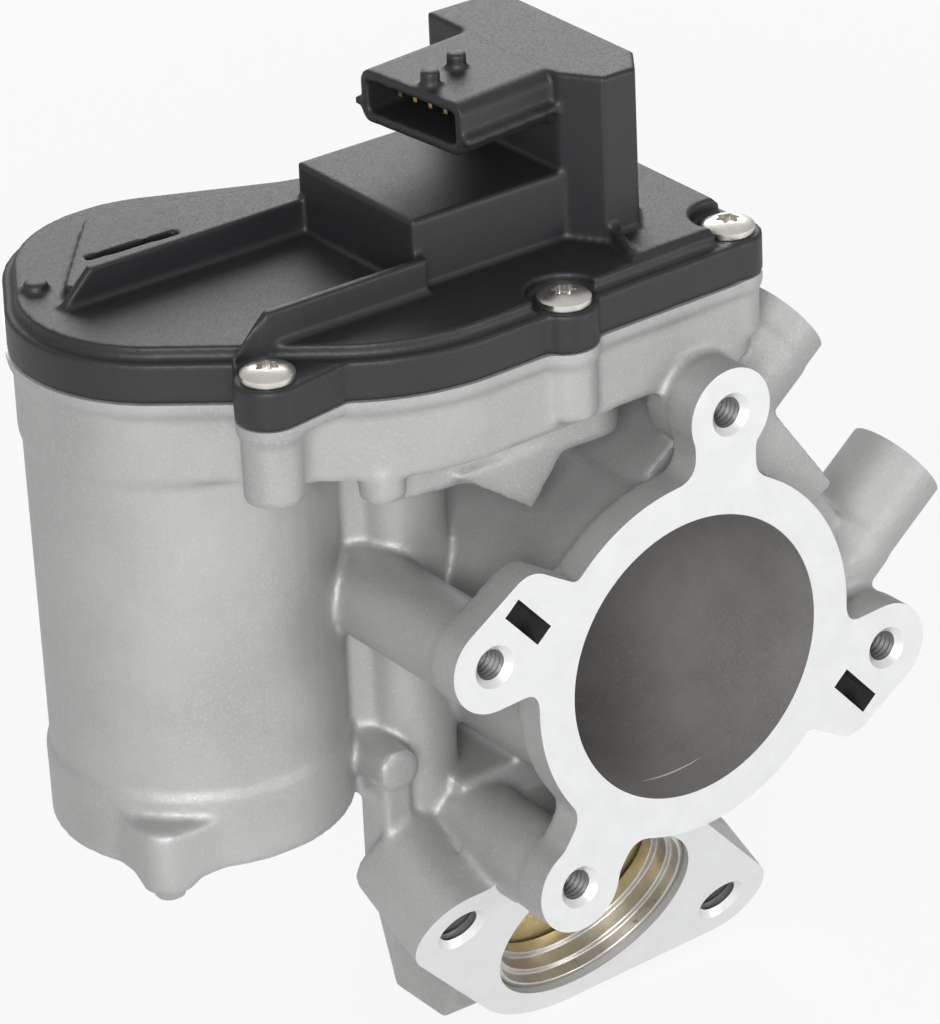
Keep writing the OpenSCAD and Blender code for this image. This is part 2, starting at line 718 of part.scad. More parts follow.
module rear_plan() {
    a = rear_win[0] - [rear_margin, rear_margin];
    b = rear_win[1] + [rear_margin, rear_margin];
    c = 3;
    round_plan([[a.x + c, a.y + c, c], [b.x - c, a.y + c, c], [b.x - c, b.y - c, c],
                [a.x + c, b.y - c, c]]);
}

rear_y = chamber_back + back_wall;

module rear_gasket() {
    color("dimgray") along_y(rear_y + 0.02, gasket_t) difference() {
        rear_plan();
        translate(rear_win[0]) square(rear_win[1] - rear_win[0]);
        for (s = rear_screws()) translate(s) circle(2.3);
    }
}

module rear_cover() {
    color(cast_color) difference() {
        along_y(rear_y + gasket_t + 0.04, rear_plate_t) rear_plan();
        for (s = rear_screws()) y_cylinder(s.x, s.y, rear_y, 10, 2.2);
    }
}

module rear_cover_screws() {
    top = rear_y + gasket_t + rear_plate_t + 0.06;
    color(stainless_color) for (s = rear_screws()) difference() {
        union() {
            y_cylinder(s.x, s.y, top - 8, 8.1, rear_tap_r - rest_gap);
            y_cylinder(s.x, s.y, top, 2.2, 3.4);
        }
        y_cylinder(s.x, s.y, top + 0.9, 3, 1.3);
    }
}

// Sector gear with its teeth as rows of the full wheel's teeth
module sector_gear() {
    first = -12;
    last = 2;
    step = 360 / sector_n;
    root = sector_r - dedendum * stage2_m;
    color("#4a4d50") translate([shaft_xy.x, shaft_xy.y, 0]) difference() {
        union() {
            translate([0, 0, stage2_z]) linear_extrude(gear_w + 0.8)
                polygon(concat([[0, 0]],
                               [for (k = [first:last])
                                    each tooth(sector_n, sector_r, root, sector_r + big_addendum * stage2_m,
                                               angle_si + k * step)]));
            translate([0, 0, floor_z + 0.6]) cylinder(h = stage2_top - floor_z - 0.6, r = 7);
        }
        translate([0, 0, floor_z]) cylinder(h = 40, r = shaft_r + arm_gap);
        translate([0, 0, stage2_z - eps]) rotate_extrude(angle = spring_slot, start = angle_si - 56)
            translate([spring_mid_r - 1.3, 0]) square([2.6, spring_slot_h + eps]);
    }
}

spring_mid_r = 9.6;
spring_wire_r = 0.7;
spring_turns = 3;
spring_slot = open_angle + 12;
spring_slot_h = 2.4;
spring_low = floor_z + spring_wire_r + rest_gap;
spring_pitch = 1.62;

module sensor_magnet() {
    color("#6b6e72") translate([shaft_xy.x, shaft_xy.y, stage2_top + 0.02]) difference() {
        cylinder(h = 3, r = 6.4);
        translate([0, 0, -eps]) cylinder(h = 1, r = 2);
    }
}

// Tube swept through the points of a path, with side faces and end caps
module swept_wire(path, r, back, sides = 8) {
    n = len(path);
    function tangent(i) = let (d = path[min(i + 1, n - 1)] - path[max(i - 1, 0)]) d / norm(d);
    function side(i) = let (c = cross(tangent(i), abs(tangent(i).z) > 0.8 ? back : [0, 0, 1]))
        c / norm(c);
    rings = [for (i = [0:n - 1]) for (k = [0:sides - 1])
                 let (u = side(i), v = cross(tangent(i), u), a = 360 * k / sides)
                 path[i] + r * (cos(a) * u + sin(a) * v)];
    walls = [for (i = [0:n - 2]) for (k = [0:sides - 1])
                 [i * sides + k, i * sides + (k + 1) % sides, (i + 1) * sides + (k + 1) % sides,
                  (i + 1) * sides + k]];
    caps = [[for (k = [sides - 1:-1:0]) k], [for (k = [0:sides - 1]) (n - 1) * sides + k]];
    polyhedron(rings, concat(walls, caps));
}

module return_spring() {
    start = post_angle + asin((stop_r + spring_wire_r + rest_gap) / post_reach);
    turn = angle_si - start + 360 * spring_turns - 5;
    count = ceil(turn / 20);
    coil = [for (i = [0:count]) let (a = start + i * turn / count)
                concat(polar(spring_mid_r, a), spring_low + i * turn / count * spring_pitch / 360)];
    leg = [concat(polar(18.5, start + 4), spring_low), concat(polar(13, start + 2), spring_low)];
    top = coil[count].z;
    tang = [concat(polar(spring_mid_r, angle_si - 1.2), top + 0.35),
            concat(polar(spring_mid_r, angle_si), top + 1.1),
            concat(polar(spring_mid_r, angle_si), stage2_z + spring_slot_h - 0.7)];
    color(steel_color) translate([shaft_xy.x, shaft_xy.y, 0])
        swept_wire(concat(leg, coil, tang), spring_wire_r, [sin(angle_si), -cos(angle_si), 0]);
}

module spring_post() {
    color(steel_color) translate(concat(stop_xy()[1], floor_z - 2.45))
        cylinder(h = 6.4, r = stop_r - rest_gap);
}

module stop_pin() {
    color(steel_color) translate(concat(stop_xy()[0], floor_z - 2.45))
        cylinder(h = stage2_z + gear_w - floor_z + 2, r = stop_r - rest_gap);
}

module idler_gear() {
    color("#e8e2d0") translate([idler_xy.x, idler_xy.y, 0]) difference() {
        union() {
            translate([0, 0, stage1_z]) linear_extrude(gear_w)
                gear_plan(idler_big_n, stage1_m, big_addendum, angle_im);
            translate([0, 0, stage1_z + gear_w - eps]) linear_extrude(stage2_top - stage1_z - gear_w + eps)
                gear_plan(idler_small_n, stage2_m, small_addendum, angle_si + 180 + 180 / idler_small_n);
        }
        translate([0, 0, floor_z]) cylinder(h = 40, r = idler_pin_r + run_gap);
    }
}

module idler_pin() {
    color(steel_color) translate([idler_xy.x, idler_xy.y, case_top + 0.7])
        cylinder(h = stage2_top + 1 - case_top, r = idler_pin_r);
}

module on_motor(z) {
    translate([motor_xy.x, motor_xy.y, z]) children();
}

module motor_pinion() {
    color(steel_color) on_motor(stage1_z) difference() {
        linear_extrude(gear_w) gear_plan(pinion_n, stage1_m, small_addendum,
                                         angle_im + 180 + 180 / pinion_n);
        translate([0, 0, -eps]) cylinder(h = 10, r = motor_shaft_r + arm_gap);
    }
}

module motor_shaft() {
    color(steel_color) on_motor(case_bottom + 0.2)
        cylinder(h = stage1_z + gear_w - case_bottom, r = motor_shaft_r);
}

module armature_core() {
    color("dimgray") on_motor(armature_z[0]) difference() {
        cylinder(h = armature_z[1] - armature_z[0], r = armature_r);
        translate([0, 0, -eps]) cylinder(h = 60, r = motor_shaft_r + arm_gap);
        for (i = [0:slot_n - 1]) rotate([0, 0, (i + 0.5) * 360 / slot_n]) {
            translate([8, -2.6, -eps]) cube([5, 5.2, 60]);
            translate([12, -0.9, -eps]) cube([6, 1.8, 60]);
        }
    }
}

module armature_winding() {
    gap = 0.1;
    color(copper_color) on_motor(0) {
        for (z = [armature_z[0] - 5 - gap, armature_z[1] + gap]) translate([0, 0, z]) ring(13, 5, 5);
        for (i = [0:slot_n - 1]) rotate([0, 0, (i + 0.5) * 360 / slot_n])
            translate([8 + gap, -2.6 + gap, armature_z[0] - 1])
                cube([5 - 2 * gap, 5.2 - 2 * gap, armature_z[1] - armature_z[0] + 2]);
    }
}

module commutator() {
    color(copper_color) on_motor(comm_z[0]) difference() {
        cylinder(h = comm_z[1] - comm_z[0], r = comm_r);
        translate([0, 0, -eps]) cylinder(h = 20, r = motor_shaft_r + arm_gap);
        for (i = [0:slot_n - 1]) rotate([0, 0, i * 360 / slot_n])
            translate([comm_r - 0.8, -0.25, -eps]) cube([2, 0.5, 20]);
    }
}

module motor_case() {
    color("gray") on_motor(case_bottom) difference() {
        cylinder(h = case_top - case_bottom, r = case_r);
        translate([0, 0, case_wall]) difference() {
            cylinder(h = case_top - case_bottom, r = case_r - case_wall);
            cylinder(h = 4.5, r = bearing_r + 1.6);
        }
        translate([0, 0, -eps]) cylinder(h = 20, r = bearing_r + 0.01);
    }
}

module motor_magnets() {
    color("#3c3f44") on_motor(-14) for (a = [25, 205])
        rotate_extrude(angle = 130, start = a) translate([magnet_in_r, 0])
            square([magnet_out_r - magnet_in_r, 40]);
}

module motor_bearing(z, h) {
    on_motor(z) ring(bearing_r, motor_shaft_r + run_gap, h);
}

module motor_bearing_lower() {
    color("#a07a4a") motor_bearing(case_bottom + 0.1, 5.6);
}

module motor_bearing_upper() {
    color("#a07a4a") motor_bearing(plate_z - 3.4, plate_t + 3.4);
}

module brush_holder() {
    color("#5a4a3a") on_motor(brush_z[0]) difference() {
        cylinder(h = brush_z[1] - brush_z[0], r = case_r - case_wall - rest_gap);
        translate([0, 0, -eps]) cylinder(h = 20, r = comm_r + 1.2);
        for (a = [0, 180]) rotate([0, 0, a]) translate([0, -2.5, 1]) cube([14, 5, 5]);
    }
}

module brushes() {
    color("#222222") on_motor(brush_z[0] + 1.05) for (a = [0, 180]) rotate([0, 0, a]) difference() {
        translate([comm_r - 0.6, -2.45, 0]) cube([8, 4.9, 4.9]);
        translate([0, 0, -eps]) cylinder(h = 20, r = comm_r + 0.08);
    }
}

module wave_washer() {
    color(steel_color) on_motor(pot_in_z + 0.05) ring(19, 16.5, 1);
}

module motor_plate() {
    color(steel_color) difference() {
        union() {
            on_motor(plate_z) cylinder(h = plate_t, r = pot_bore_r + 0.55);
            translate([0, 0, plate_z]) linear_extrude(plate_t)
                for (p = plate_screw_polar) {
                    translate(motor_xy + polar(p[0], p[1])) circle(4);
                    link([motor_xy.x, motor_xy.y, 9], concat(motor_xy + polar(p[0], p[1]), 4));
                }
            on_motor(case_top + 0.1) ring(pot_bore_r - 0.1, case_r - case_wall, plate_z - case_top);
            on_motor(plate_z - 3.4) cylinder(h = 4, r = bearing_r + 1.6);
            translate([idler_xy.x, idler_xy.y, case_top + 0.6]) cylinder(h = 6, r = 4.1);
        }
        on_motor(plate_z - 10) cylinder(h = 20, r = bearing_r + 0.01);
        translate([idler_xy.x, idler_xy.y, 0]) cylinder(h = 80, r = idler_pin_r + 0.01);
        for (p = plate_screw_polar) translate(concat(motor_xy + polar(p[0], p[1]), 0))
            cylinder(h = 80, r = plate_screw_r + 0.2);
        motor_blades(0.5);
    }
}

module motor_plate_screws() {
    color(stainless_color) for (p = plate_screw_polar)
        translate(concat(motor_xy + polar(p[0], p[1]), plate_z + plate_t)) difference() {
            union() {
                translate([0, 0, -7.5]) cylinder(h = 7.6, r = plate_screw_r * 0.82);
                translate([0, 0, 0.02]) cylinder(h = 2, r = 2.7);
            }
            translate([0, 0, 1.1]) cylinder(h = 3, r = 1, $fn = 6);
        }
}

// Two blades that carry the motor current up to the cover
module motor_blades(grow) {
    for (y = [-4.5, 4.5]) translate([motor_xy.x - 15 - grow, motor_xy.y + y - 2 - grow, brush_z[1] + 0.05])
        cube([0.8 + 2 * grow, 4 + 2 * grow, split_z + 3.5 - brush_z[1]]);
}

module motor_terminals() {
    color(copper_color) motor_blades(0);
}

module box_block(x, y, z) {
    translate([x[0], y[0], z[0]]) cube([x[1] - x[0], y[1] - y[0], z[1] - z[0]]);
}

// Frame of the connector: X from the mouth to the tower, Y across, Z up, origin at the root
module connector_frame() {
    translate([shell_root.x, shell_root.y, tower_top - shell_h]) rotate([0, 0, shell_turn])
        children();
}

module shell_plan(grow) {
    c = shell_wall + 0.6;
    w = shell_w / 2 - c;
    round_plan([[-w, c, c + grow], [w, c, c + grow], [w, shell_h - c, c + grow], [-w, shell_h - c, c + grow]]);
}

module connector_shell(grow, from_x, to_x) {
    connector_frame() translate([from_x, 0, 0]) rotate([90, 0, 90]) linear_extrude(to_x - from_x)
        shell_plan(grow);
}

module tower_plan() {
    polygon([[tower_nose_x[0], tower_y[0]], [tower_nose_x[1], tower_y[0]], [tower_x[1], tower_y[0] + 5.4],
             [tower_x[1], tower_y[1]], [tower_x[0], tower_y[1]], [tower_x[0], tower_y[0] + 6.4]]);
}

module cover_body() {
    translate([0, 0, split_z]) linear_extrude(skirt_h) tray_plan(skirt_out);
    translate([0, 0, split_z]) linear_extrude(cover_boss_h) bossed_plan(skirt_out, cover_boss_r);
    translate([0, 0, split_z]) linear_extrude(cover_floor_h) tray_plan(-lip_in);
    box_block(box_x, box_y, [split_z + 4, box_top]);
    top_wall(back_wall_x, box_y[1] - rib_t);
    top_wall(front_wall_x, front_wall_y);
    translate([0, 0, split_z + 4]) linear_extrude(lip_z - split_z - 2) polygon(plateau);
    translate(concat(dome_xy, split_z + 4)) cylinder(h = lip_z - split_z - 2.6, r = 1.9);
    translate([0, 0, split_z]) linear_extrude(cover_floor_h + 0.9) intersection() {
        tray_plan(-lip_in - 0.8);
        polygon([[0.4, 22], [-2, 10.5], [-2, 0], [40, 0], [40, 80], [3, 80]]);
    }
    translate([0, 0, split_z + 4]) linear_extrude(tower_h - 4) tower_plan();
    translate([-2, 11.4, 0]) rotate([90, 0, 76]) linear_extrude(1.3)
        polygon([[0, split_z + 4], [0, lip_z + 1.2], [7.4, lip_z + 2.9], [7.4, split_z + 4]]);
    connector_shell(0, -shell_len, 3);
    connector_frame() for (p = [[-16.5, -2], [-9.2, 0.2]])
        translate([p.x, p.y, shell_h - 0.5]) cylinder(h = 3, r = 1.5);
    connector_frame() translate([-shell_len, -shell_w / 2 - 1.3, 2.2]) cube([shell_len + 2, 1.6, 1.4]);
    connector_frame() translate([-shell_len, shell_w / 2 - 0.3, 2.2]) cube([shell_len + 2, 1.6, 1.4]);
}

// Thin wall on the cover's floor from the box to x, its far end sloping down
module top_wall(x, y) {
    along_y(y, rib_t)
        polygon([[x - wall_slope, split_z + 4], [x - wall_slope, lip_z - 0.5], [x, wall_top],
                 [box_x[0] + 1, wall_top], [box_x[0] + 1, split_z + 4]]);
}

module cover_cuts() {
    inner_top = lip_z - cover_wall;
    translate([0, 0, split_z - eps]) linear_extrude(inner_top - split_z + eps) difference() {
        tray_plan(-tray_wall);
        for (s = cover_screw_xy) translate(s) circle(seal_pad_r);
    }
    box_block([box_x[0] + cover_wall, box_x[1] - cover_wall],
              [box_y[0] + cover_wall, box_y[1] - cover_wall], [split_z, box_top - cover_wall]);
    box_block([tower_x[0] + cover_wall, tower_x[1] - cover_wall],
              [tower_y[0] + 6.2, tower_y[1] - cover_wall], [split_z, tower_top - 3]);
    connector_shell(-shell_wall, -shell_len - 1, -2.4);
    for (s = cover_screw_xy) {
        translate([s.x, s.y, split_z - eps]) cylinder(h = 12, r = bush_out_r + 0.01);
        translate([s.x, s.y, seat_z]) cylinder(h = 12, r = 5.9);
    }
    translate([0, 0, split_z - eps]) linear_extrude(seal_h_cover + eps) seal_plan(rest_gap);
    translate(concat(plateau_slot, lip_z)) rotate([0, 0, -3]) cube([16, 1.6, 4]);
    for (i = [0:pin_count - 1]) terminal_pin(i, 0.02);
}

// Closed band just inside the wall, led round the inner side of each cover screw
module seal_plan(grow) {
    difference() {
        seal_edge(-seal_in + grow, seal_turn_r - grow);
        seal_edge(-seal_in - seal_w - grow, seal_turn_r + seal_w + grow);
    }
}

module seal_edge(inset, turn_r) {
    difference() {
        tray_plan(inset);
        for (s = cover_screw_xy) translate(s) circle(turn_r);
    }
}

board_z = lip_z + 1.5;
board_x = [-30, 0];
board_y = [26.4, 50.8];

// Posts that hold the sensor board under the raised box
module board_posts() {
    for (x = [board_x[0] + 3, board_x[1] - 3]) for (y = [board_y[0] + 3, board_y[1] - 3])
        translate([x, y, board_z + 1.65]) cylinder(h = box_top - board_z - 3, r = 2);
}

module gearbox_cover() {
    color(plastic_color) union() {
        difference() {
            cover_body();
            cover_cuts();
        }
        board_posts();
    }
}

module cover_seal() {
    color("#1d1d1f") translate([0, 0, split_z + 0.02]) linear_extrude(seal_h_cover - 0.07) seal_plan(0);
}

module cover_bushes() {
    color(steel_color) for (s = cover_screw_xy) translate([s.x, s.y, split_z + 0.02])
        ring(bush_out_r, cover_screw_d / 2 + 0.15, cover_boss_h - 0.02);
}

// Button-head screw, origin under the head
module cover_screw() {
    head_r = 4.2;
    head_h = 2.3;
    difference() {
        union() {
            translate([0, 0, -14]) cylinder(h = 14.1, r = screw_tap_r - 0.02);
            rotate_extrude() intersection() {
                translate([0, -8.3 + head_h]) circle(8.3, $fn = 96);
                translate([0, 0]) square([head_r, head_h]);
            }
            cylinder(h = 0.8, r = head_r);
        }
        translate([0, 0, 1]) linear_extrude(3) star_plan(1.9, 1.35);
    }
}

// Six-lobe drive recess
module star_plan(r_out, r_in) {
    circle(r_in);
    for (i = [0:5]) rotate(i * 60) translate([r_in, 0]) circle(r_out - r_in);
}

module cover_screws() {
    color(stainless_color) for (s = cover_screw_xy) translate([s.x, s.y, seat_z + 0.03]) cover_screw();
}

module sensor_board() {
    color("darkgreen") difference() {
        box_block(board_x, board_y, [board_z, board_z + 1.6]);
        for (i = [0:pin_count - 1]) terminal_pin(i, 0.1);
    }
}

module hall_sensor() {
    color("#151515") translate([box_x[0] + cover_wall + 0.2, shaft_xy.y - 2.5, board_z - 1.75])
        cube([3.6, 5, 1.7]);
}

// One connector pin: level in the shell, then down the tower to the board
module terminal_pin(i, grow) {
    y = (i - (pin_count - 1) / 2) * pin_pitch;
    connector_frame() translate([0, y, shell_h / 2]) {
        translate([-shell_len + 4, -0.4 - grow, -0.4 - grow]) cube([shell_len + 0.5, 0.8 + 2 * grow,
                                                                   0.8 + 2 * grow]);
        translate([4.5 - 0.8 - grow, -0.4 - grow, board_z - (tower_top - shell_h / 2)])
            cube([0.8 + 2 * grow, 0.8 + 2 * grow, tower_top - shell_h / 2 - board_z + 0.4 + grow]);
    }
}

module connector_terminals() {
    color(gold_color) for (i = [0:pin_count - 1]) terminal_pin(i, 0);
}

module outlet_o_ring() {
    color("#1d1d1f") translate([0, tube_len + 3.9, 0]) rotate([-90, 0, 0])
        rotate_extrude() translate([spigot_d / 2 - 0.55, 0]) circle(ring_cord_r, $fn = 24);
}

module coolant_plug() {
    color(steel_color) coolant_frame() translate([channel_n, stub_y - 0.5, 20])
        cylinder(h = 4, r = channel_r - 0.01);
}

main_housing();
seat_sleeve();
flap_disc();
flap_rivet();
flap_arm();
valve_shaft();
shaft_bush_lower();
shaft_bush_upper();
shaft_seal();
rear_gasket();
rear_cover();
rear_cover_screws();
sector_gear();
sensor_magnet();
return_spring();
spring_post();
stop_pin();
idler_gear();
idler_pin();
motor_pinion();
motor_shaft();
armature_core();
armature_winding();
commutator();
motor_case();
motor_magnets();
motor_bearing_lower();
motor_bearing_upper();
brush_holder();
brushes();
wave_washer();
motor_plate();
motor_plate_screws();
motor_terminals();
gearbox_cover();
cover_seal();
cover_bushes();
cover_screws();
sensor_board();
hall_sensor();
connector_terminals();
outlet_o_ring();
coolant_plug();
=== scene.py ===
"""Looks of an exhaust gas recirculation valve: castings, plastic cover, screws and finishes."""

import json
import math
from types import SimpleNamespace

import bpy
from bpy.props import FloatProperty, FloatVectorProperty, IntProperty, PointerProperty
from mathutils import Matrix, Vector


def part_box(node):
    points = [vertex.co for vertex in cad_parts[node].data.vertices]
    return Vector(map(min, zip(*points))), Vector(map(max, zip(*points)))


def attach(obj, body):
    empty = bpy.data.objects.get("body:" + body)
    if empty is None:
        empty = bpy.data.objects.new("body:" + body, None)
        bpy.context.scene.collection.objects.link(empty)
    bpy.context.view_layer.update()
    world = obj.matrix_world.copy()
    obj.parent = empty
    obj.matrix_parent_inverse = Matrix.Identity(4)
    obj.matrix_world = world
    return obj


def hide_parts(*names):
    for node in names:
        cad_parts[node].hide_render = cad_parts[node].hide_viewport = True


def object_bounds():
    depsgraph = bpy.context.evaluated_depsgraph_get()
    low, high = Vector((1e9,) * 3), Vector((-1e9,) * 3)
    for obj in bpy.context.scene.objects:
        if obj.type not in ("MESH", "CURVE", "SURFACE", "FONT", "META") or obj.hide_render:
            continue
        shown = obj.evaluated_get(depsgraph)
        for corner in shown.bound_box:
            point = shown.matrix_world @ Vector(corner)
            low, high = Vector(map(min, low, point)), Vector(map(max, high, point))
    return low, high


bl_info = {
    "name": "EGR Valve Looks",
    "version": (1, 0, 0),
    "blender": (4, 5, 0),
    "location": "View3D > Sidebar > EGR Valve",
    "description": "Builds the visible pieces and finishes of an EGR valve round its CAD frame",
    "category": "Object",
}

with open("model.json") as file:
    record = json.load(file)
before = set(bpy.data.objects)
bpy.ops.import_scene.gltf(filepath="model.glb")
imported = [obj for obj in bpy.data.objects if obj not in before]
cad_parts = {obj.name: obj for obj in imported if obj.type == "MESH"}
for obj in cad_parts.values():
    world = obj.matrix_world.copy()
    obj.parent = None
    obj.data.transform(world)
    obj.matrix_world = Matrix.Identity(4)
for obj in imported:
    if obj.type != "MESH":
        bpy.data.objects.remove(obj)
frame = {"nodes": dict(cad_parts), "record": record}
CAD_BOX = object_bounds()
MOUNTS = {mount["name"]: mount for mount in frame["record"]["mounts"]}
MM = 0.001
FRONT = Vector((0, -1, 0))
REAR = (0, 1, 0)
UP = Vector((0, 0, 1))

# Sockets of a Mix node when it mixes colours
MIX_SHARE, MIX_A, MIX_B, MIX_RESULT = 0, 6, 7, 2


# ---------------------------------------------------------------- selecting and modelling

def only(piece):
    """Selects this piece and makes it the active one."""
    bpy.ops.object.select_all(action="DESELECT")
    piece.select_set(True)
    bpy.context.view_layer.objects.active = piece


def named(piece, name):
    """Gives a piece and its mesh the same name."""
    piece.name = name
    piece.data.name = name
    return piece


def settle(name):
    """Puts the active new object's place into its mesh and names it."""
    bpy.ops.object.transform_apply(location=True, rotation=True, scale=True)
    return named(bpy.context.view_layer.objects.active, name)


def cad_copy(node, name):
    """A loose copy of a CAD node with its doubles merged, ready to be worked on."""
    only(frame["nodes"][node])
    bpy.ops.object.duplicate()
    piece = bpy.context.view_layer.objects.active
    piece.parent = None
    piece.matrix_world = Matrix.Identity(4)
    for key in list(piece.keys()):
        del piece[key]
    piece.data.materials.clear()
    only(piece)
    bpy.ops.object.mode_set(mode="EDIT")
    bpy.ops.mesh.select_all(action="SELECT")
    bpy.ops.mesh.remove_doubles(threshold=1e-6)
    bpy.ops.object.mode_set(mode="OBJECT")
    return named(piece, name)


def peg(start, axis, radius, length, sides=64, tip=None):
    """A closed cylinder, or a cone if tip is given, from start along axis."""
    axis = Vector(axis).normalized()
    bpy.ops.object.select_all(action="DESELECT")
    bpy.ops.mesh.primitive_cone_add(
        vertices=sides, radius1=radius, radius2=radius if tip is None else tip, depth=length,
        location=Vector(start) + axis * length / 2,
        rotation=axis.to_track_quat("Z", "Y").to_euler())
    return settle("peg")


def block(low, high, centre=None, turn=(0, 0, 0)):
    """A closed box between two corners, or of that span round a turned centre."""
    low, high = Vector(low), Vector(high)
    bpy.ops.object.select_all(action="DESELECT")
    bpy.ops.mesh.primitive_cube_add(
        size=1, location=(low + high) / 2 if centre is None else centre, rotation=turn,
        scale=high - low)
    return settle("block")


def prism(outline, low, high):
    """A closed upright prism over an outline of (x, y) points in metres."""
    mesh = bpy.data.meshes.new("prism")
    mesh.from_pydata([(x, y, low) for x, y in outline], [], [tuple(range(len(outline)))])
    piece = bpy.data.objects.new("prism", mesh)
    bpy.context.scene.collection.objects.link(piece)
    only(piece)
    bpy.ops.object.mode_set(mode="EDIT")
    bpy.ops.mesh.select_all(action="SELECT")
    bpy.ops.mesh.extrude_region_move(TRANSFORM_OT_translate={"value": (0, 0, high - low)})
    bpy.ops.mesh.select_all(action="SELECT")
    bpy.ops.mesh.normals_make_consistent(inside=False)
    bpy.ops.object.mode_set(mode="OBJECT")
    return piece


def lathe(profile, start, axis, steps=64):
    """A turned solid: profile points are (radius, height), first and last on the axis."""
    mesh = bpy.data.meshes.new("lathe")
    edges = [(i, i + 1) for i in range(len(profile) - 1)]
    mesh.from_pydata([(r, 0, h) for r, h in profile], edges, [])
    piece = bpy.data.objects.new("lathe", mesh)
    bpy.context.scene.collection.objects.link(piece)
    only(piece)
    bpy.ops.object.mode_set(mode="EDIT")
    bpy.ops.mesh.select_all(action="SELECT")
    bpy.ops.mesh.spin(steps=steps, angle=2 * math.pi, center=(0, 0, 0), axis=(0, 0, 1))
    bpy.ops.mesh.select_all(action="SELECT")
    bpy.ops.mesh.remove_doubles(threshold=1e-7)
    bpy.ops.mesh.normals_make_consistent(inside=False)
    bpy.ops.object.mode_set(mode="OBJECT")
    turn = Vector(axis).normalized().to_track_quat("Z", "Y").to_matrix().to_4x4()
    piece.data.transform(Matrix.Translation(Vector(start)) @ turn)
    return piece


def select_faces(piece, test):
    """Leaves the piece in edit mode with the faces that pass the test selected."""
    only(piece)
    bpy.ops.object.mode_set(mode="EDIT")
    bpy.ops.mesh.select_mode(type="FACE")
    bpy.ops.mesh.select_all(action="DESELECT")
    bpy.ops.object.mode_set(mode="OBJECT")
    for face in piece.data.polygons:
        face.select = test(face.center, face.normal)
    bpy.ops.object.mode_set(mode="EDIT")


def on_plane(point, normal, slack=0.00002):
    """Test for faces that lie in a plane and look along its normal."""
    point, normal = Vector(point), Vector(normal).normalized()
    return lambda centre, way: abs((centre - point).dot(normal)) < slack and way.dot(normal) > 0.999


def grow_face(piece, point, normal, length):
    """Pulls the flat face through point out along its normal, as stock to be machined off."""
    select_faces(piece, on_plane(point, normal))
    pull = Vector(normal).normalized() * length
    bpy.ops.mesh.extrude_region_move(TRANSFORM_OT_translate={"value": pull})
    bpy.ops.object.mode_set(mode="OBJECT")


def join(piece, extras):
    """Joins the extras into the piece as separate shells of one mesh."""
    only(piece)
    for extra in extras:
        extra.select_set(True)
    bpy.ops.object.join()
    return piece


def modify(piece, kind, **settings):
    """Adds a modifier with these settings and applies it."""
    change = piece.modifiers.new(kind.lower(), kind)
    for key, value in settings.items():
        setattr(change, key, value)
    only(piece)
    bpy.ops.object.modifier_apply(modifier=change.name)
    return piece


def combine(piece, tools, operation="DIFFERENCE", solver="MANIFOLD"):
    """Cuts or adds the tools one after another, and removes them."""
    for tool in tools:
        modify(piece, "BOOLEAN", object=tool, operation=operation, solver=solver)
        bpy.data.objects.remove(tool)
    return piece


def fuse_and_soften(piece, voxel, rounds, faces):
    """Turns joined shells into one skin whose edges and corners are softly rounded."""
    modify(piece, "REMESH", mode="VOXEL", voxel_size=voxel, adaptivity=0)
    modify(piece, "SMOOTH", factor=0.5, iterations=rounds)
    count = sum(len(face.vertices) - 2 for face in piece.data.polygons)
    if count > faces:
        modify(piece, "DECIMATE", decimate_type="COLLAPSE", ratio=faces / count)
    return piece


def shade(piece, angle):
    """Smooth shading with edges kept sharp where faces turn by more than this angle in degrees."""
    only(piece)
    bpy.ops.object.shade_smooth_by_angle(angle=math.radians(angle), keep_sharp_edges=False)


def mouth(name, face_point):
    """Where a hole of the record meets the plane through face_point, its axis and its dims."""
    mount = MOUNTS[name]
    place, axis = Vector(mount["pos_m"]), Vector(mount["axis"]).normalized()
    return place + axis * (Vector(face_point) - place).dot(axis), axis, mount["dims"]


def stub_rim(name):
    """Centre of the rim of a round stub of the record, and the stub's axis out of it."""
    mount = MOUNTS[name]
    place, axis = Vector(mount["pos_m"]), Vector(mount["axis"]).normalized()
    near_axis = (mount["dims"]["r_mm"] + 0.05) * MM
    reach = max((vertex.co - place).dot(axis)
                for vertex in frame["nodes"]["main_housing"].data.vertices
                if (vertex.co - place).cross(axis).length < near_axis)
    return place + axis * reach, axis


def threaded_tool(start, axis, minor, length, pitch, countersink):
    """Cutter for a tapped hole with ridged walls, a drill point and a chamfered mouth."""
    over = 2 * MM
    crest = minor + 0.52 * pitch
    turn = pitch * 1.02
    depth = countersink - minor
    profile = [(0, -over), (countersink + over, -over), (minor, depth)]
    while depth + pitch < length:
        profile += [(crest, depth + pitch * 0.45), (crest, depth + pitch * 0.55),
                    (minor, depth + pitch * 0.95), (minor, depth + turn)]
        depth += turn
    drill_point = minor * 0.3
    profile += [(minor, length), (0, length + drill_point)]
    return lathe(profile, start, axis, 48)


def islands(node, reach, axis=UP):
    """Lowest and highest corner of each stud of a CAD node, told apart across their axis."""
    found = []
    for vertex in frame["nodes"][node].data.vertices:
        for group in found:
            if (group[0] - vertex.co).cross(axis).length < reach:
                group.append(vertex.co)
                break
        else:
            found.append([vertex.co])
    return [tuple(Vector(end(co[i] for co in group) for i in range(3)) for end in (min, max))
            for group in found]


def finish_piece(piece, materials, nodes, body="housing", angle=35):
    """Gives a finished piece its materials, the CAD nodes it replaces and its body."""
    piece.data.materials.clear()
    for material in materials:
        piece.data.materials.append(material)
    shade(piece, angle)
    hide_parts(*nodes)
    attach(piece, body)


# ---------------------------------------------------------------- shared surface effects

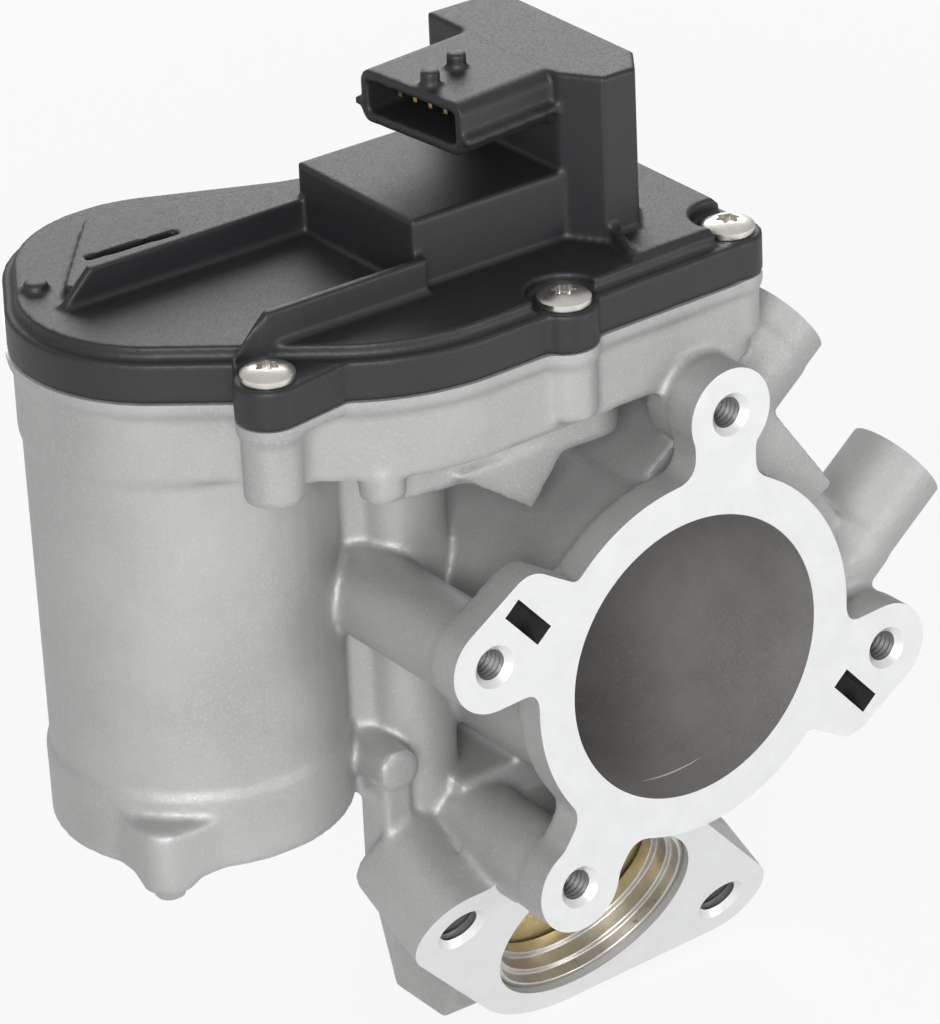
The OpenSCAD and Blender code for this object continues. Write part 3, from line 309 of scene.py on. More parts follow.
def add_node(tree, kind, **settings):
    """A new shader node; each setting is one of its properties or the name of an input."""
    made = tree.nodes.new(kind)
    for key, value in settings.items():
        if hasattr(made, key):
            setattr(made, key, value)
        else:
            made.inputs[key.replace("_", " ")].default_value = value
    return made


def effect_group(name, inputs, outputs):
    """An empty node group with float or vector inputs and float outputs."""
    group = bpy.data.node_groups.new(name, "ShaderNodeTree")
    for label, kind, value in inputs:
        socket = group.interface.new_socket(label, in_out="INPUT", socket_type=kind)
        if value is not None:
            socket.default_value = value
    for label in outputs:
        group.interface.new_socket(label, in_out="OUTPUT", socket_type="NodeSocketFloat")
    return group, group.nodes.new("NodeGroupInput"), group.nodes.new("NodeGroupOutput")


def grain_group():
    """Fine grain of a cast or moulded skin: height, patchy tone and bright specks."""
    group, source, result = effect_group(
        "Skin grain",
        [("Vector", "NodeSocketVector", None), ("Grain", "NodeSocketFloat", 900.0),
         ("Patches", "NodeSocketFloat", 60.0), ("Specks", "NodeSocketFloat", 1400.0)],
        ["Height", "Tone", "Speck"])
    link = group.links.new
    fine = add_node(group, "ShaderNodeTexNoise", Detail=6.0, Roughness=0.65)
    pits = add_node(group, "ShaderNodeTexVoronoi", feature="F1", Randomness=1.0)
    pit_share = 0.35
    mix = add_node(group, "ShaderNodeMath", operation="MULTIPLY_ADD")
    mix.inputs[1].default_value = pit_share
    patches = add_node(group, "ShaderNodeTexNoise", Detail=4.0, Roughness=0.6)
    specks = add_node(group, "ShaderNodeTexVoronoi", feature="F1", Randomness=1.0)
    cells = add_node(group, "ShaderNodeSeparateColor")
    spark = add_node(group, "ShaderNodeMapRange", From_Min=0.86, From_Max=0.98)
    for texture, scale in ((fine, "Grain"), (pits, "Grain"), (patches, "Patches"),
                           (specks, "Specks")):
        link(source.outputs["Vector"], texture.inputs["Vector"])
        link(source.outputs[scale], texture.inputs["Scale"])
    link(pits.outputs["Distance"], mix.inputs[0])
    link(fine.outputs["Fac"], mix.inputs[2])
    link(mix.outputs[0], result.inputs["Height"])
    link(patches.outputs["Fac"], result.inputs["Tone"])
    link(specks.outputs["Color"], cells.inputs["Color"])
    link(cells.outputs["Red"], spark.inputs["Value"])
    link(spark.outputs["Result"], result.inputs["Speck"])
    return group


def tool_mark_group():
    """Fine parallel marks of a milling cutter or a lathe, with slight waver."""
    group, source, result = effect_group(
        "Tool marks",
        [("Vector", "NodeSocketVector", None), ("Marks", "NodeSocketFloat", 900.0),
         ("Waver", "NodeSocketFloat", 3.0)],
        ["Height", "Tone"])
    link = group.links.new
    lines = add_node(group, "ShaderNodeTexWave", wave_type="RINGS", rings_direction="SPHERICAL",
                     Detail=3.0)
    scuffs = add_node(group, "ShaderNodeTexNoise", Scale=220.0, Detail=5.0, Roughness=0.7)
    line_share = 0.4
    blend = add_node(group, "ShaderNodeMath", operation="MULTIPLY_ADD")
    blend.inputs[1].default_value = line_share
    link(source.outputs["Vector"], lines.inputs["Vector"])
    link(source.outputs["Marks"], lines.inputs["Scale"])
    link(source.outputs["Waver"], lines.inputs["Distortion"])
    link(source.outputs["Vector"], scuffs.inputs["Vector"])
    link(lines.outputs["Fac"], blend.inputs[0])
    link(scuffs.outputs["Fac"], blend.inputs[2])
    link(blend.outputs[0], result.inputs["Height"])
    link(scuffs.outputs["Fac"], result.inputs["Tone"])
    return group


GROUPS = {}


def shared(name, build):
    """The node group of this name, built the first time it is asked for."""
    if name not in GROUPS:
        GROUPS[name] = build()
    return GROUPS[name]


def finish(name, dark, light, metallic, rough, bump, depth, sizes, kind="grain", spark=0.0,
           shift=(0, 0, 0)):
    """A material whose colour, roughness and relief all vary by one of the shared effects."""
    material = bpy.data.materials.new(name)
    material.use_nodes = True
    tree = material.node_tree
    link = tree.links.new
    shader = tree.nodes["Principled BSDF"]
    where = tree.nodes.new("ShaderNodeTexCoord")
    fit = add_node(tree, "ShaderNodeMapping")
    fit.inputs["Location"].default_value = shift
    effect = tree.nodes.new("ShaderNodeGroup")
    if kind == "grain":
        effect.node_tree = shared("grain", grain_group)
        for label, value in zip(("Grain", "Patches", "Specks"), sizes):
            effect.inputs[label].default_value = value
    else:
        effect.node_tree = shared("tool_marks", tool_mark_group)
        effect.inputs["Marks"].default_value = sizes[0]
        effect.inputs["Waver"].default_value = sizes[1]
    link(where.outputs["Object"], fit.inputs["Vector"])
    link(fit.outputs["Vector"], effect.inputs["Vector"])
    ease = add_node(tree, "ShaderNodeMapRange", From_Min=0.3, From_Max=0.7)
    link(effect.outputs["Tone"], ease.inputs["Value"])
    tint = add_node(tree, "ShaderNodeMix", data_type="RGBA")
    tint.inputs[MIX_A].default_value = (*dark, 1)
    tint.inputs[MIX_B].default_value = (*light, 1)
    link(ease.outputs["Result"], tint.inputs[MIX_SHARE])
    colour = tint.outputs[MIX_RESULT]
    if spark:
        fleck = add_node(tree, "ShaderNodeMix", data_type="RGBA")
        fleck.inputs[MIX_B].default_value = (*(min(1.0, c * (1 + spark)) for c in light), 1)
        link(effect.outputs["Speck"], fleck.inputs[MIX_SHARE])
        link(colour, fleck.inputs[MIX_A])
        colour = fleck.outputs[MIX_RESULT]
    link(colour, shader.inputs["Base Color"])
    spread = add_node(tree, "ShaderNodeMapRange", From_Min=0.3, From_Max=0.9, To_Min=rough[0],
                      To_Max=rough[1])
    link(effect.outputs["Height"], spread.inputs["Value"])
    link(spread.outputs["Result"], shader.inputs["Roughness"])
    relief = add_node(tree, "ShaderNodeBump", Strength=bump, Distance=depth)
    link(effect.outputs["Height"], relief.inputs["Height"])
    link(relief.outputs["Normal"], shader.inputs["Normal"])
    shader.inputs["Metallic"].default_value = metallic
    material.diffuse_color = (*light, 1)
    return material


def shades(colour, spread=0.12):
    """A darker and a lighter version of a colour."""
    return (tuple(c * (1 - spread) for c in colour),
            tuple(min(1.0, c * (1 + spread)) for c in colour))


# ---------------------------------------------------------------- sizes and colours

SHEET_STEEL = (0.62, 0.61, 0.59)


def colour_property(name, text, value):
    """A colour setting of the panel."""
    return FloatVectorProperty(name=name, description=text, default=value, subtype="COLOR", size=3,
                               min=0, max=1)


def length_property(name, text, value):
    """A length setting of the panel, in metres."""
    return FloatProperty(name=name, description=text, default=value, unit="LENGTH", min=0,
                         precision=5)


class EGR_PG_housing(bpy.types.PropertyGroup):
    voxel: length_property("Skin size", "Edge length of the casting's skin before it is thinned",
                           0.65 * MM)
    rounds: IntProperty(name="Softening", description="Smoothing rounds for cast edges", default=5,
                        min=0)
    faces: IntProperty(name="Triangles", description="Most triangles of the rough casting",
                       default=150000, min=1000)
    stock: length_property("Machining stock", "Material that is milled off each machined face",
                           2.5 * MM)
    thread_pitch: length_property("Thread pitch", "Pitch of the flange threads", 1.0 * MM)
    countersink: length_property("Countersink", "How much wider a thread's mouth is than its bore",
                                 1.05 * MM)
    inlet_radius: length_property("Inlet radius", "Radius of the counterbore round the seat sleeve",
                                  18.27 * MM)
    inlet_depth: length_property("Inlet depth", "Depth of that counterbore", 8.4 * MM)
    slot_span: FloatVectorProperty(name="Slot size",
                                   description="Length, depth and width of a flange slot",
                                   default=(8.7 * MM, 5 * MM, 3.5 * MM), subtype="XYZ", size=3)
    slot_place: FloatVectorProperty(name="Slot place", description="Centre of the left slot's mouth",
                                    default=(-31.5 * MM, 0, 17 * MM), subtype="XYZ", size=3)
    slot_turn: FloatProperty(name="Slot turn",
                             description="How far the slots are turned about the bore axis",
                             default=math.radians(48.3), subtype="ANGLE")
    cast_colour: colour_property("Cast skin", "Colour of the raw aluminium skin",
                                 (0.40, 0.40, 0.395))
    machined_colour: colour_property("Machined faces", "Colour of the milled aluminium",
                                     (0.74, 0.745, 0.75))
    # Painted shade: the thread walls are darkened to stand in for the shade deep inside the tapped
    # holes
    thread_shade_colour: colour_property("Threads", "Colour of the tapped holes' walls",
                                   (0.17, 0.168, 0.165))
    # Painted shade: the slot walls are nearly black to stand in for the shade inside the deep flange
    # slots
    slot_shade_colour: colour_property("Slots", "Colour of the flange slots' walls",
                                   (0.035, 0.034, 0.033))
    bore_colour: colour_property("Bore", "Colour of the bore wall", (0.30, 0.29, 0.28))


class EGR_PG_cover(bpy.types.PropertyGroup):
    voxel: length_property("Skin size", "Edge length of the cover's skin before it is thinned",
                           0.42 * MM)
    rounds: IntProperty(name="Softening", description="Smoothing rounds for moulded edges",
                        default=3, min=0)
    faces: IntProperty(name="Triangles", description="Most triangles of the cover",
                       default=150000, min=1000)
    colour: colour_property("Plastic", "Colour of the glass-filled plastic", (0.013, 0.0135, 0.015))


class EGR_PG_screw(bpy.types.PropertyGroup):
    head_radius: length_property("Head radius", "Radius of a cover screw's head", 4.15 * MM)
    head_height: length_property("Head height", "Height of a cover screw's head", 2.3 * MM)
    dome_radius: length_property("Dome radius", "Radius of the head's dome", 8.3 * MM)
    drive_radius: length_property("Drive radius", "Mean radius of the six-lobe recess", 1.68 * MM)
    drive_turn: FloatProperty(name="Drive turn",
                              description="How much further each screw's drive is turned",
                              default=math.radians(319.9), subtype="ANGLE")
    drive_depth: length_property("Drive depth", "Depth of the six-lobe recess", 1.5 * MM)
    colour: colour_property("Stainless", "Colour of the screws", (0.70, 0.68, 0.64))


class EGR_PG_flap(bpy.types.PropertyGroup):
    bevel: length_property("Edge bevel", "Bevel on the disc's and sleeve's edges", 0.25 * MM)
    disc_colour: colour_property("Disc", "Colour of the coated flap disc", (0.62, 0.50, 0.26))
    sleeve_colour: colour_property("Sleeve", "Colour of the seat sleeve", (0.55, 0.53, 0.50))


class EGR_PG_stage(bpy.types.PropertyGroup):
    floor_colour: colour_property("Floor", "Colour of the plain floor", (0.62, 0.62, 0.62))
    key_power: FloatProperty(name="Key light", description="Power of the key light in watts",
                             default=13, min=0)
    fill_power: FloatProperty(name="Fill light",
                              description="Power of the low front light in watts",
                              default=5, min=0)
    back_power: FloatProperty(name="Back light",
                              description="Power of the light behind the part in watts",
                              default=7, min=0)
    world_level: FloatProperty(name="World level",
                               description="Strength of the surroundings overhead",
                               default=0.5, min=0)
    world_low: FloatProperty(name="World low",
                             description="Strength of the surroundings at the horizon",
                             default=0.12, min=0)
    floor_white: FloatProperty(name="Floor white",
                               description="Share of plain white in the floor as it is seen",
                               default=0.88, min=0, max=1)
    gloss_white: FloatProperty(name="Mirrored white",
                               description="Share of plain white in what metal mirrors",
                               default=0.4, min=0, max=1)
    lens: FloatProperty(name="Lens", description="Focal length for a 36 mm wide picture side",
                        default=205.66, min=1)


# ---------------------------------------------------------------- housing

# Plugs fill what is cut again after softening; lengths are in metres where MM stands by them
JOINT_DROP = 0.02 * MM          # the cover's joint face lies this much below the seal
PLUG_OVER = 0.5 * MM            # a plug stands this much out of the stock
BORE_WALL = 0.3 * MM            # a bore's plug is this much wider than the bore
BORE_PLUG, BORE_CUT = 96 * MM, 110 * MM
HOLE_WALL, HOLE_FLOOR = 1.2 * MM, 3 * MM
INLET_FLOOR = 0.2 * MM
SLOT_WALL_MM, SLOT_SINK_MM = Vector((0.7, 3.8, 0.7)), Vector((0, 1.2, 0))
REAR_TAP_RADIUS, REAR_TAP_DEPTH = 1.6 * MM, 6.5 * MM

# Cutters reach past the casting so that no face of theirs lies in one of its faces
FAR = 200 * MM
REACH = 20 * MM
CUT_OVER = MM
INLET_MILL_RADIUS = 60 * MM     # half diagonal of the square cutter of the inlet's face
FLANGE_CLEAR = 7 * MM           # the inlet's cutter ends this far behind the front face
LUG_RADIUS, LUG_LENGTH = 7.5 * MM, 60 * MM
STUB_MILL_WALL = 1.5 * MM
THREAD_OVER = 0.2 * MM
PITCH_RADIUS_MM = 2.5           # bore radius of the thread that the pitch is given for
EAR_HOLE = 12 * MM
COVER_TAP_RADIUS, COVER_TAP_DEPTH = 1.7 * MM, 9 * MM
COVER_SCREW_REACH, REAR_SCREW_REACH = 9 * MM, 8 * MM

# Where the finishes of the casting end
BORE_SKIN = 0.06 * MM
PORT_EDGE, PORT_LOW, PORT_Y = 3 * MM, 0.8, (40 * MM, 60 * MM)
THREAD_FLOOR = 1.4 * MM
CHAMFER_SHARE = 0.95
# Material numbers of the housing; the last two stand for painted shade in the threads and in the
# slots
CAST, MILLED, BORED, PAINTED_THREAD_SHADE, PAINTED_SLOT_SHADE = range(5)


def housing_places(sizes):
    """Faces, holes, slots and rims of the housing that are machined, from the record and CAD."""
    front = Vector((0, 0, 0))
    joint_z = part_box("cover_seal")[0].z - JOINT_DROP
    inlet = Vector(MOUNTS["gas_inlet_face"]["pos_m"])
    inlet_way = Vector(MOUNTS["gas_inlet_face"]["axis"]).normalized()
    flange_holes = [mouth(f"flange_thread_{i}", front) for i in (1, 2, 3, 4)]
    inlet_holes = [mouth(f"inlet_thread_{side}", inlet) for side in ("left", "right")]
    return SimpleNamespace(
        faces=[(front, FRONT), (inlet, inlet_way), (Vector((0, 0, joint_z)), UP)],
        rims=[stub_rim(f"coolant_stub_{side}") for side in ("upper", "lower")],
        stub_radius=MOUNTS["coolant_stub_upper"]["dims"]["r_mm"] * MM,
        bore=MOUNTS["main_bore"]["dims"]["r_mm"] * MM,
        joint_z=joint_z,
        holes=flange_holes + inlet_holes,
        lower_lug=flange_holes[2],
        inlet_centre=(inlet_holes[0][0] + inlet_holes[1][0]) / 2,
        inlet_way=inlet_way,
        slots=[Vector(sizes.slot_place) * side for side in (1, -1)])


def casting_plugs(sizes, at):
    """Solids that fill every bore, thread and slot before the casting is softened."""
    out = sizes.stock + PLUG_OVER
    plugs = [peg((0, -sizes.stock - CUT_OVER, 0), REAR, at.bore + BORE_WALL, BORE_PLUG)]
    plugs += [peg(place + way * out, -way, dims["r_mm"] * MM + HOLE_WALL,
                  dims["length_mm"] * MM + HOLE_FLOOR) for place, way, dims in at.holes]
    plugs.append(peg(at.inlet_centre + at.inlet_way * out, -at.inlet_way,
                     sizes.inlet_radius + BORE_WALL, sizes.inlet_depth + sizes.stock + INLET_FLOOR))
    fill = Vector(sizes.slot_span) + SLOT_WALL_MM * MM
    plugs += [block((0, 0, 0), fill, slot + SLOT_SINK_MM * MM, (0, sizes.slot_turn, 0))
              for slot in at.slots]
    rear_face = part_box("rear_gasket")[0].y
    for low, high in islands("rear_cover_screws", REAR_SCREW_REACH, FRONT):
        place = ((low.x + high.x) / 2, rear_face, (low.z + high.z) / 2)
        plugs.append(peg(place, FRONT, REAR_TAP_RADIUS, REAR_TAP_DEPTH))
    return plugs


def machining_cutters(sizes, at):
    """The milling cutters, drills and taps that finish the softened casting, in their order."""
    inlet_mill = peg(at.inlet_centre, at.inlet_way, INLET_MILL_RADIUS, REACH, 4)
    lug, lug_way = at.lower_lug[:2]
    combine(inlet_mill, [block((-FAR, -FAR, -FAR), (FAR, FLANGE_CLEAR, FAR)),
                         peg(lug, -lug_way, LUG_RADIUS, LUG_LENGTH, 96)])
    cuts = [
        block((-FAR, -REACH, -FAR), (FAR, 0, FAR)),
        block((-FAR, -FAR, at.joint_z), (FAR, FAR, at.joint_z + REACH)),
        inlet_mill,
        peg((0, -CUT_OVER, 0), REAR, at.bore, BORE_CUT, 160),
        peg(at.inlet_centre + at.inlet_way * CUT_OVER, -at.inlet_way, sizes.inlet_radius,
            sizes.inlet_depth + CUT_OVER, 128),
    ]
    cuts += [peg(rim, axis, at.stub_radius + STUB_MILL_WALL, REACH) for rim, axis in at.rims]
    length, depth, width = sizes.slot_span
    cuts += [block((0, 0, 0), (length, 2 * depth, width), slot, (0, sizes.slot_turn, 0))
             for slot in at.slots]
    for place, way, dims in at.holes:
        radius = dims["r_mm"] * MM
        cuts.append(threaded_tool(place, -way, radius, dims["length_mm"] * MM + THREAD_OVER,
                                  sizes.thread_pitch * (dims["r_mm"] / PITCH_RADIUS_MM),
                                  radius + sizes.countersink))
    ears = MOUNTS["rear_ears"]
    turn = 2 * math.pi / ears["dims"]["count"]
    for i in range(ears["dims"]["count"]):
        angle = math.pi / 2 + i * turn
        spoke = Vector((math.cos(angle), 0, math.sin(angle))) * ears["dims"]["pcd_mm"] / 2 * MM
        cuts.append(peg(Vector(ears["pos_m"]) + spoke + Vector((0, CUT_OVER, 0)), (0, -1, 0),
                        ears["dims"]["hole_r_mm"] * MM, EAR_HOLE, 48))
    for low, high in islands("cover_bushes", COVER_SCREW_REACH):
        centre = (low + high) / 2
        cuts.append(peg((centre.x, centre.y, at.joint_z + CUT_OVER), (0, 0, -1), COVER_TAP_RADIUS,
                        COVER_TAP_DEPTH, 32))
    return cuts


def casting_materials(sizes):
    """The five materials of the housing, in the order of their material numbers; the last two are
    painted shade in the threads and in the slots.
    """
    return (
        finish("cast aluminium skin", *shades(sizes.cast_colour, 0.10), metallic=0.55,
               rough=(0.42, 0.66), bump=0.35, depth=0.10 * MM, sizes=(1800.0, 38.0, 4200.0),
               spark=0.035),
        finish("milled aluminium face", *shades(sizes.machined_colour, 0.04), metallic=0.55,
               rough=(0.30, 0.42), bump=0.06, depth=0.02 * MM, kind="marks", sizes=(420.0, 2.0),
               shift=(0.11, 0.0, 0.07)),
        finish("bored aluminium wall", *shades(sizes.bore_colour, 0.14), metallic=0.45,
               rough=(0.45, 0.70), bump=0.35, depth=0.08 * MM, sizes=(2000.0, 70.0, 4200.0),
               spark=0.05),
        # Painted shade: the tapped threads are coloured dark for the shade inside the holes, and
        # their chamfered mouths stay milled
        finish("tapped thread", *shades(sizes.thread_shade_colour), metallic=0.55, rough=(0.35, 0.55),
               bump=0.10, depth=0.02 * MM, sizes=(1500.0, 200.0, 3000.0)),
        # Painted shade: near black for the shade inside the flange slots
        finish("shaded cast pocket", *shades(sizes.slot_shade_colour), metallic=0.2,
               rough=(0.60, 0.80), bump=0.30, depth=0.05 * MM, sizes=(1800.0, 90.0, 4200.0)))


def number_faces(housing, sizes, at):
    """Gives each face of the housing the finish of the tool that made it, and painted shade to the
    thread walls and the slots.
    """
    on_milled = [on_plane(point, way) for point, way in at.faces]
    hole_axes = [(place, way, dims["r_mm"] * MM + HOLE_WALL, dims["length_mm"] * MM + THREAD_FLOOR)
                 for place, way, dims in at.holes]
    slot_frame = Matrix.Rotation(sizes.slot_turn, 3, "Y").transposed()
    length, depth, width = sizes.slot_span

    def in_slot(centre):
        for slot in at.slots:
            near = slot_frame @ (centre - slot)
            across = abs(near.x) < 0.52 * length and abs(near.z) < 0.55 * width
            if across and 0 < near.y < depth + 0.1 * MM:
                return True
        return False

    for face in housing.data.polygons:
        centre, way = face.center, face.normal
        off_bore = math.hypot(centre.x, centre.z)
        low = centre.z < -PORT_LOW * at.bore and PORT_Y[0] < centre.y < PORT_Y[1]
        if any(test(centre, way) for test in on_milled):
            face.material_index = MILLED
        elif off_bore < at.bore + BORE_SKIN and centre.y > 0:
            face.material_index = BORED
        elif in_slot(centre):
            # Painted shade in the deep slots
            face.material_index = PAINTED_SLOT_SHADE
        elif off_bore < at.bore + PORT_EDGE and low:
            face.material_index = BORED
        else:
            for place, axis, radius, bottom in hole_axes:
                away = centre - place
                if away.cross(axis).length < radius and -bottom < away.dot(axis):
                    # Painted shade on the thread walls below the chamfer; the chamfered mouth keeps
                    # the milled finish
                    threaded = away.dot(axis) < -CHAMFER_SHARE * sizes.countersink
                    face.material_index = PAINTED_THREAD_SHADE if threaded else MILLED


class EGR_OT_housing(bpy.types.Operator):
    """Rough-casts the housing from its CAD node, then machines its faces, bores and threads"""
    bl_idname = "egr.housing"
    bl_label = "Cast and machined housing"

    def execute(self, context):
        sizes = context.scene.egr_housing
        housing = cad_copy("main_housing", "housing_casting")
        at = housing_places(sizes)
        for point, way in at.faces + at.rims:
            grow_face(housing, point, way, sizes.stock)
        join(housing, casting_plugs(sizes, at))
        fuse_and_soften(housing, sizes.voxel, sizes.rounds, sizes.faces)
        combine(housing, machining_cutters(sizes, at))
        finish_piece(housing, casting_materials(sizes), ("main_housing",))
        number_faces(housing, sizes, at)
        return {"FINISHED"}


# ---------------------------------------------------------------- cover, screws and flap

class EGR_OT_cover(bpy.types.Operator):
    """Moulds the gearbox cover from its CAD node with softly rounded edges"""
    bl_idname = "egr.cover"
    bl_label = "Moulded cover"

    def execute(self, context):
        sizes = context.scene.egr_cover
        cover = cad_copy("gearbox_cover", "cover_moulding")
        fuse_and_soften(cover, sizes.voxel, sizes.rounds, sizes.faces)
        plastic = finish("black moulded plastic", *shades(sizes.colour), metallic=0.0,
                         rough=(0.40, 0.58), bump=0.25, depth=0.05 * MM,
                         sizes=(2600.0, 45.0, 3200.0), spark=0.2)
        finish_piece(cover, (plastic,), ("gearbox_cover",), angle=60)
        return {"FINISHED"}


def screw_steel(name, colour):
    """Bright stainless with fine turning marks."""
    return finish(name, *shades(colour, 0.08), metallic=1.0, rough=(0.22, 0.38), bump=0.05,
                  depth=0.02 * MM, sizes=(1600.0, 160.0, 2500.0))


class EGR_OT_cover_screws(bpy.types.Operator):
    """Turns one button-head screw with a six-lobe drive and copies it to each screw place"""
    bl_idname = "egr.cover_screws"
    bl_label = "Cover screws"

    def execute(self, context):
        sizes = context.scene.egr_screw
        radius, height, dome = sizes.head_radius, sizes.head_height, sizes.dome_radius
        shank, tip, chamfer, rim_foot = 1.66 * MM, -14 * MM, 0.4 * MM, 0.2 * MM
        dome_edge, rim_fall = 0.25 * MM, 0.22 * MM
        profile = [(0, height)]
        for i in range(1, 11):
            r = (radius - dome_edge) * i / 10
            profile.append((r, height - dome + math.sqrt(dome * dome - r * r)))
        profile += [(radius, profile[-1][1] - rim_fall), (radius, rim_foot), (radius - rim_foot, 0),
                    (shank, 0), (shank, tip + chamfer), (shank - chamfer, tip), (0, tip)]
        steps, lobe_height = 72, 0.24 * MM
        master = lathe(profile, (0, 0, 0), UP, steps)
        lobes = []
        for i in range(steps):
            angle = 2 * math.pi * i / steps
            r = sizes.drive_radius + lobe_height * math.cos(6 * angle)
            lobes.append((r * math.cos(angle), r * math.sin(angle)))
        combine(master, [prism(lobes, height - sizes.drive_depth, height + 2 * MM)])
        modify(master, "BEVEL", width=0.07 * MM, segments=2, limit_method="ANGLE",
               angle_limit=math.radians(40))
        copies = []
        for low, high in islands("cover_screws", COVER_SCREW_REACH):
            copy = master.copy()
            copy.data = master.data.copy()
            bpy.context.scene.collection.objects.link(copy)
            turn = Matrix.Rotation(sizes.drive_turn * len(copies), 4, "Z")
            place = Vector(((low.x + high.x) / 2, (low.y + high.y) / 2, high.z - height))
            copy.data.transform(Matrix.Translation(place) @ turn)
            copies.append(copy)
        bpy.data.objects.remove(master)
        screws = named(join(copies[0], copies[1:]), "cover_screws_turned")
        bright = screw_steel("stainless screw", sizes.colour)
        finish_piece(screws, (bright,), ("cover_screws",))
        return {"FINISHED"}


class EGR_OT_rear_screws(bpy.types.Operator):
    """Turns the socket screws of the rear cover"""
    bl_idname = "egr.rear_screws"
    bl_label = "Rear cover screws"

    def execute(self, context):
        height, radius, shank, tip = 2.2 * MM, 3.4 * MM, 1.45 * MM, -7.8 * MM
        chamfer, socket, socket_depth = 0.4 * MM, 1.3 * MM, 1.3 * MM
        profile = [(0, height), (radius - chamfer, height), (radius, height - chamfer), (radius, 0),
                   (shank, 0), (shank, tip + chamfer), (shank - chamfer, tip), (0, tip)]
        copies = []
        for low, high in islands("rear_cover_screws", REAR_SCREW_REACH, FRONT):
            seat = Vector(((low.x + high.x) / 2, high.y - height, (low.z + high.z) / 2))
            screw = lathe(profile, seat, -FRONT, 48)
            mouth_place = seat + Vector((0, height + MM, 0))
            combine(screw, [peg(mouth_place, FRONT, socket, socket_depth + MM, 6)])
            copies.append(screw)
        screws = named(join(copies[0], copies[1:]), "rear_screws_turned")
        bright = screw_steel("stainless socket screw", SHEET_STEEL)
        finish_piece(screws, (bright,), ("rear_cover_screws",))
        return {"FINISHED"}


class EGR_OT_flap(bpy.types.Operator):
    """Shapes the flap disc and the stepped seat sleeve with fine bevelled edges"""
    bl_idname = "egr.flap"
    bl_label = "Flap disc and seat sleeve"

    def execute(self, context):
        sizes = context.scene.egr_flap
        gold = finish("gold coated disc", *shades(sizes.disc_colour, 0.15), metallic=0.85,
                      rough=(0.28, 0.46), bump=0.12, depth=0.04 * MM,
                      sizes=(1100.0, 140.0, 1500.0), spark=0.1)
        band = finish("turned stainless band", *shades(sizes.sleeve_colour, 0.22), metallic=1.0,
                      rough=(0.22, 0.40), bump=0.15, depth=0.03 * MM, sizes=(700.0, 120.0, 1500.0))
        for node, name, material, slot, body in (
                ("flap_disc", "flap_disc_pressed", gold, "gold_coated", "flap"),
                ("seat_sleeve", "seat_sleeve_turned", band, "stainless", "housing")):
            piece = cad_copy(node, name)
            only(piece)
            bpy.ops.object.mode_set(mode="EDIT")
            bpy.ops.mesh.select_all(action="SELECT")
            bpy.ops.mesh.dissolve_limited(angle_limit=math.radians(1))
            bpy.ops.object.mode_set(mode="OBJECT")
            modify(piece, "BEVEL", width=sizes.bevel, segments=3, limit_method="ANGLE",
                   angle_limit=math.radians(40))
            finish_piece(piece, (material,), (node,), body)
        return {"FINISHED"}


# ---------------------------------------------------------------- CAD parts

# Name, material slot of the record, colour, metal, roughness, relief and the CAD nodes
CAD_FINISHES = (
    ("ground steel", "steel", (0.52, 0.53, 0.55), 1.0, (0.20, 0.38), 0.06,
     ("valve_shaft", "idler_pin", "motor_shaft", "motor_pinion", "spring_post", "stop_pin",
      "return_spring", "wave_washer", "motor_plate", "cover_bushes", "coolant_plug", "sector_gear")),
    ("stamped stainless", "stainless", SHEET_STEEL, 1.0, (0.24, 0.42), 0.10,
     ("flap_arm", "flap_rivet", "motor_plate_screws")),
    ("cast lid", "cast_aluminium", (0.44, 0.44, 0.435), 0.55, (0.42, 0.62), 0.30, ("rear_cover",)),
    ("sintered bronze", "bronze", (0.42, 0.29, 0.16), 0.9, (0.40, 0.60), 0.20,
     ("shaft_bush_lower", "shaft_bush_upper", "motor_bearing_lower", "motor_bearing_upper")),
    ("copper wire", "copper", (0.62, 0.30, 0.15), 1.0, (0.25, 0.45), 0.25,
     ("armature_winding", "commutator", "motor_terminals")),
    ("tinned gold pins", "gold_coated", (0.72, 0.52, 0.20), 1.0, (0.18, 0.32), 0.05,
     ("connector_terminals",)),
    ("black rubber", "rubber", (0.018, 0.018, 0.020), 0.0, (0.55, 0.80), 0.25,
     ("shaft_seal", "cover_seal", "outlet_o_ring")),
    ("fibre gasket", "dark_plastic", (0.09, 0.09, 0.095), 0.0, (0.70, 0.90), 0.40,
     ("rear_gasket",)),
    ("natural gear plastic", "gear_plastic", (0.74, 0.70, 0.58), 0.0, (0.35, 0.55), 0.12,
     ("idler_gear",)),
    ("brown moulding", "dark_plastic", (0.10, 0.075, 0.055), 0.0, (0.45, 0.65), 0.20,
     ("brush_holder",)),
    ("carbon brush", "dark_plastic", (0.03, 0.03, 0.032), 0.1, (0.55, 0.75), 0.30,
     ("brushes", "hall_sensor")),
    ("ferrite", "magnet", (0.10, 0.10, 0.115), 0.2, (0.45, 0.65), 0.25,
     ("sensor_magnet", "motor_magnets")),
    ("laminated core", "core_steel", (0.22, 0.22, 0.235), 0.9, (0.35, 0.60), 0.30,
     ("armature_core", "motor_case")),
    ("circuit board", "board", (0.02, 0.13, 0.05), 0.0, (0.25, 0.40), 0.08, ("sensor_board",)),
)


class EGR_OT_inner_parts(bpy.types.Operator):
    """Gives every carried-over CAD part its own procedural finish"""
    bl_idname = "egr.inner_parts"
    bl_label = "Finishes of the CAD parts"

    def execute(self, context):
        for name, slot, colour, metallic, rough, bump, nodes in CAD_FINISHES:
            material = finish(name, *shades(colour, 0.14), metallic, rough, bump, 0.05 * MM,
                              sizes=(1200.0, 130.0, 1800.0), spark=0.15)
            for node in nodes:
                part = frame["nodes"][node]
                part.data.materials.clear()
                part.data.materials.append(material)
        return {"FINISHED"}


# ---------------------------------------------------------------- stage

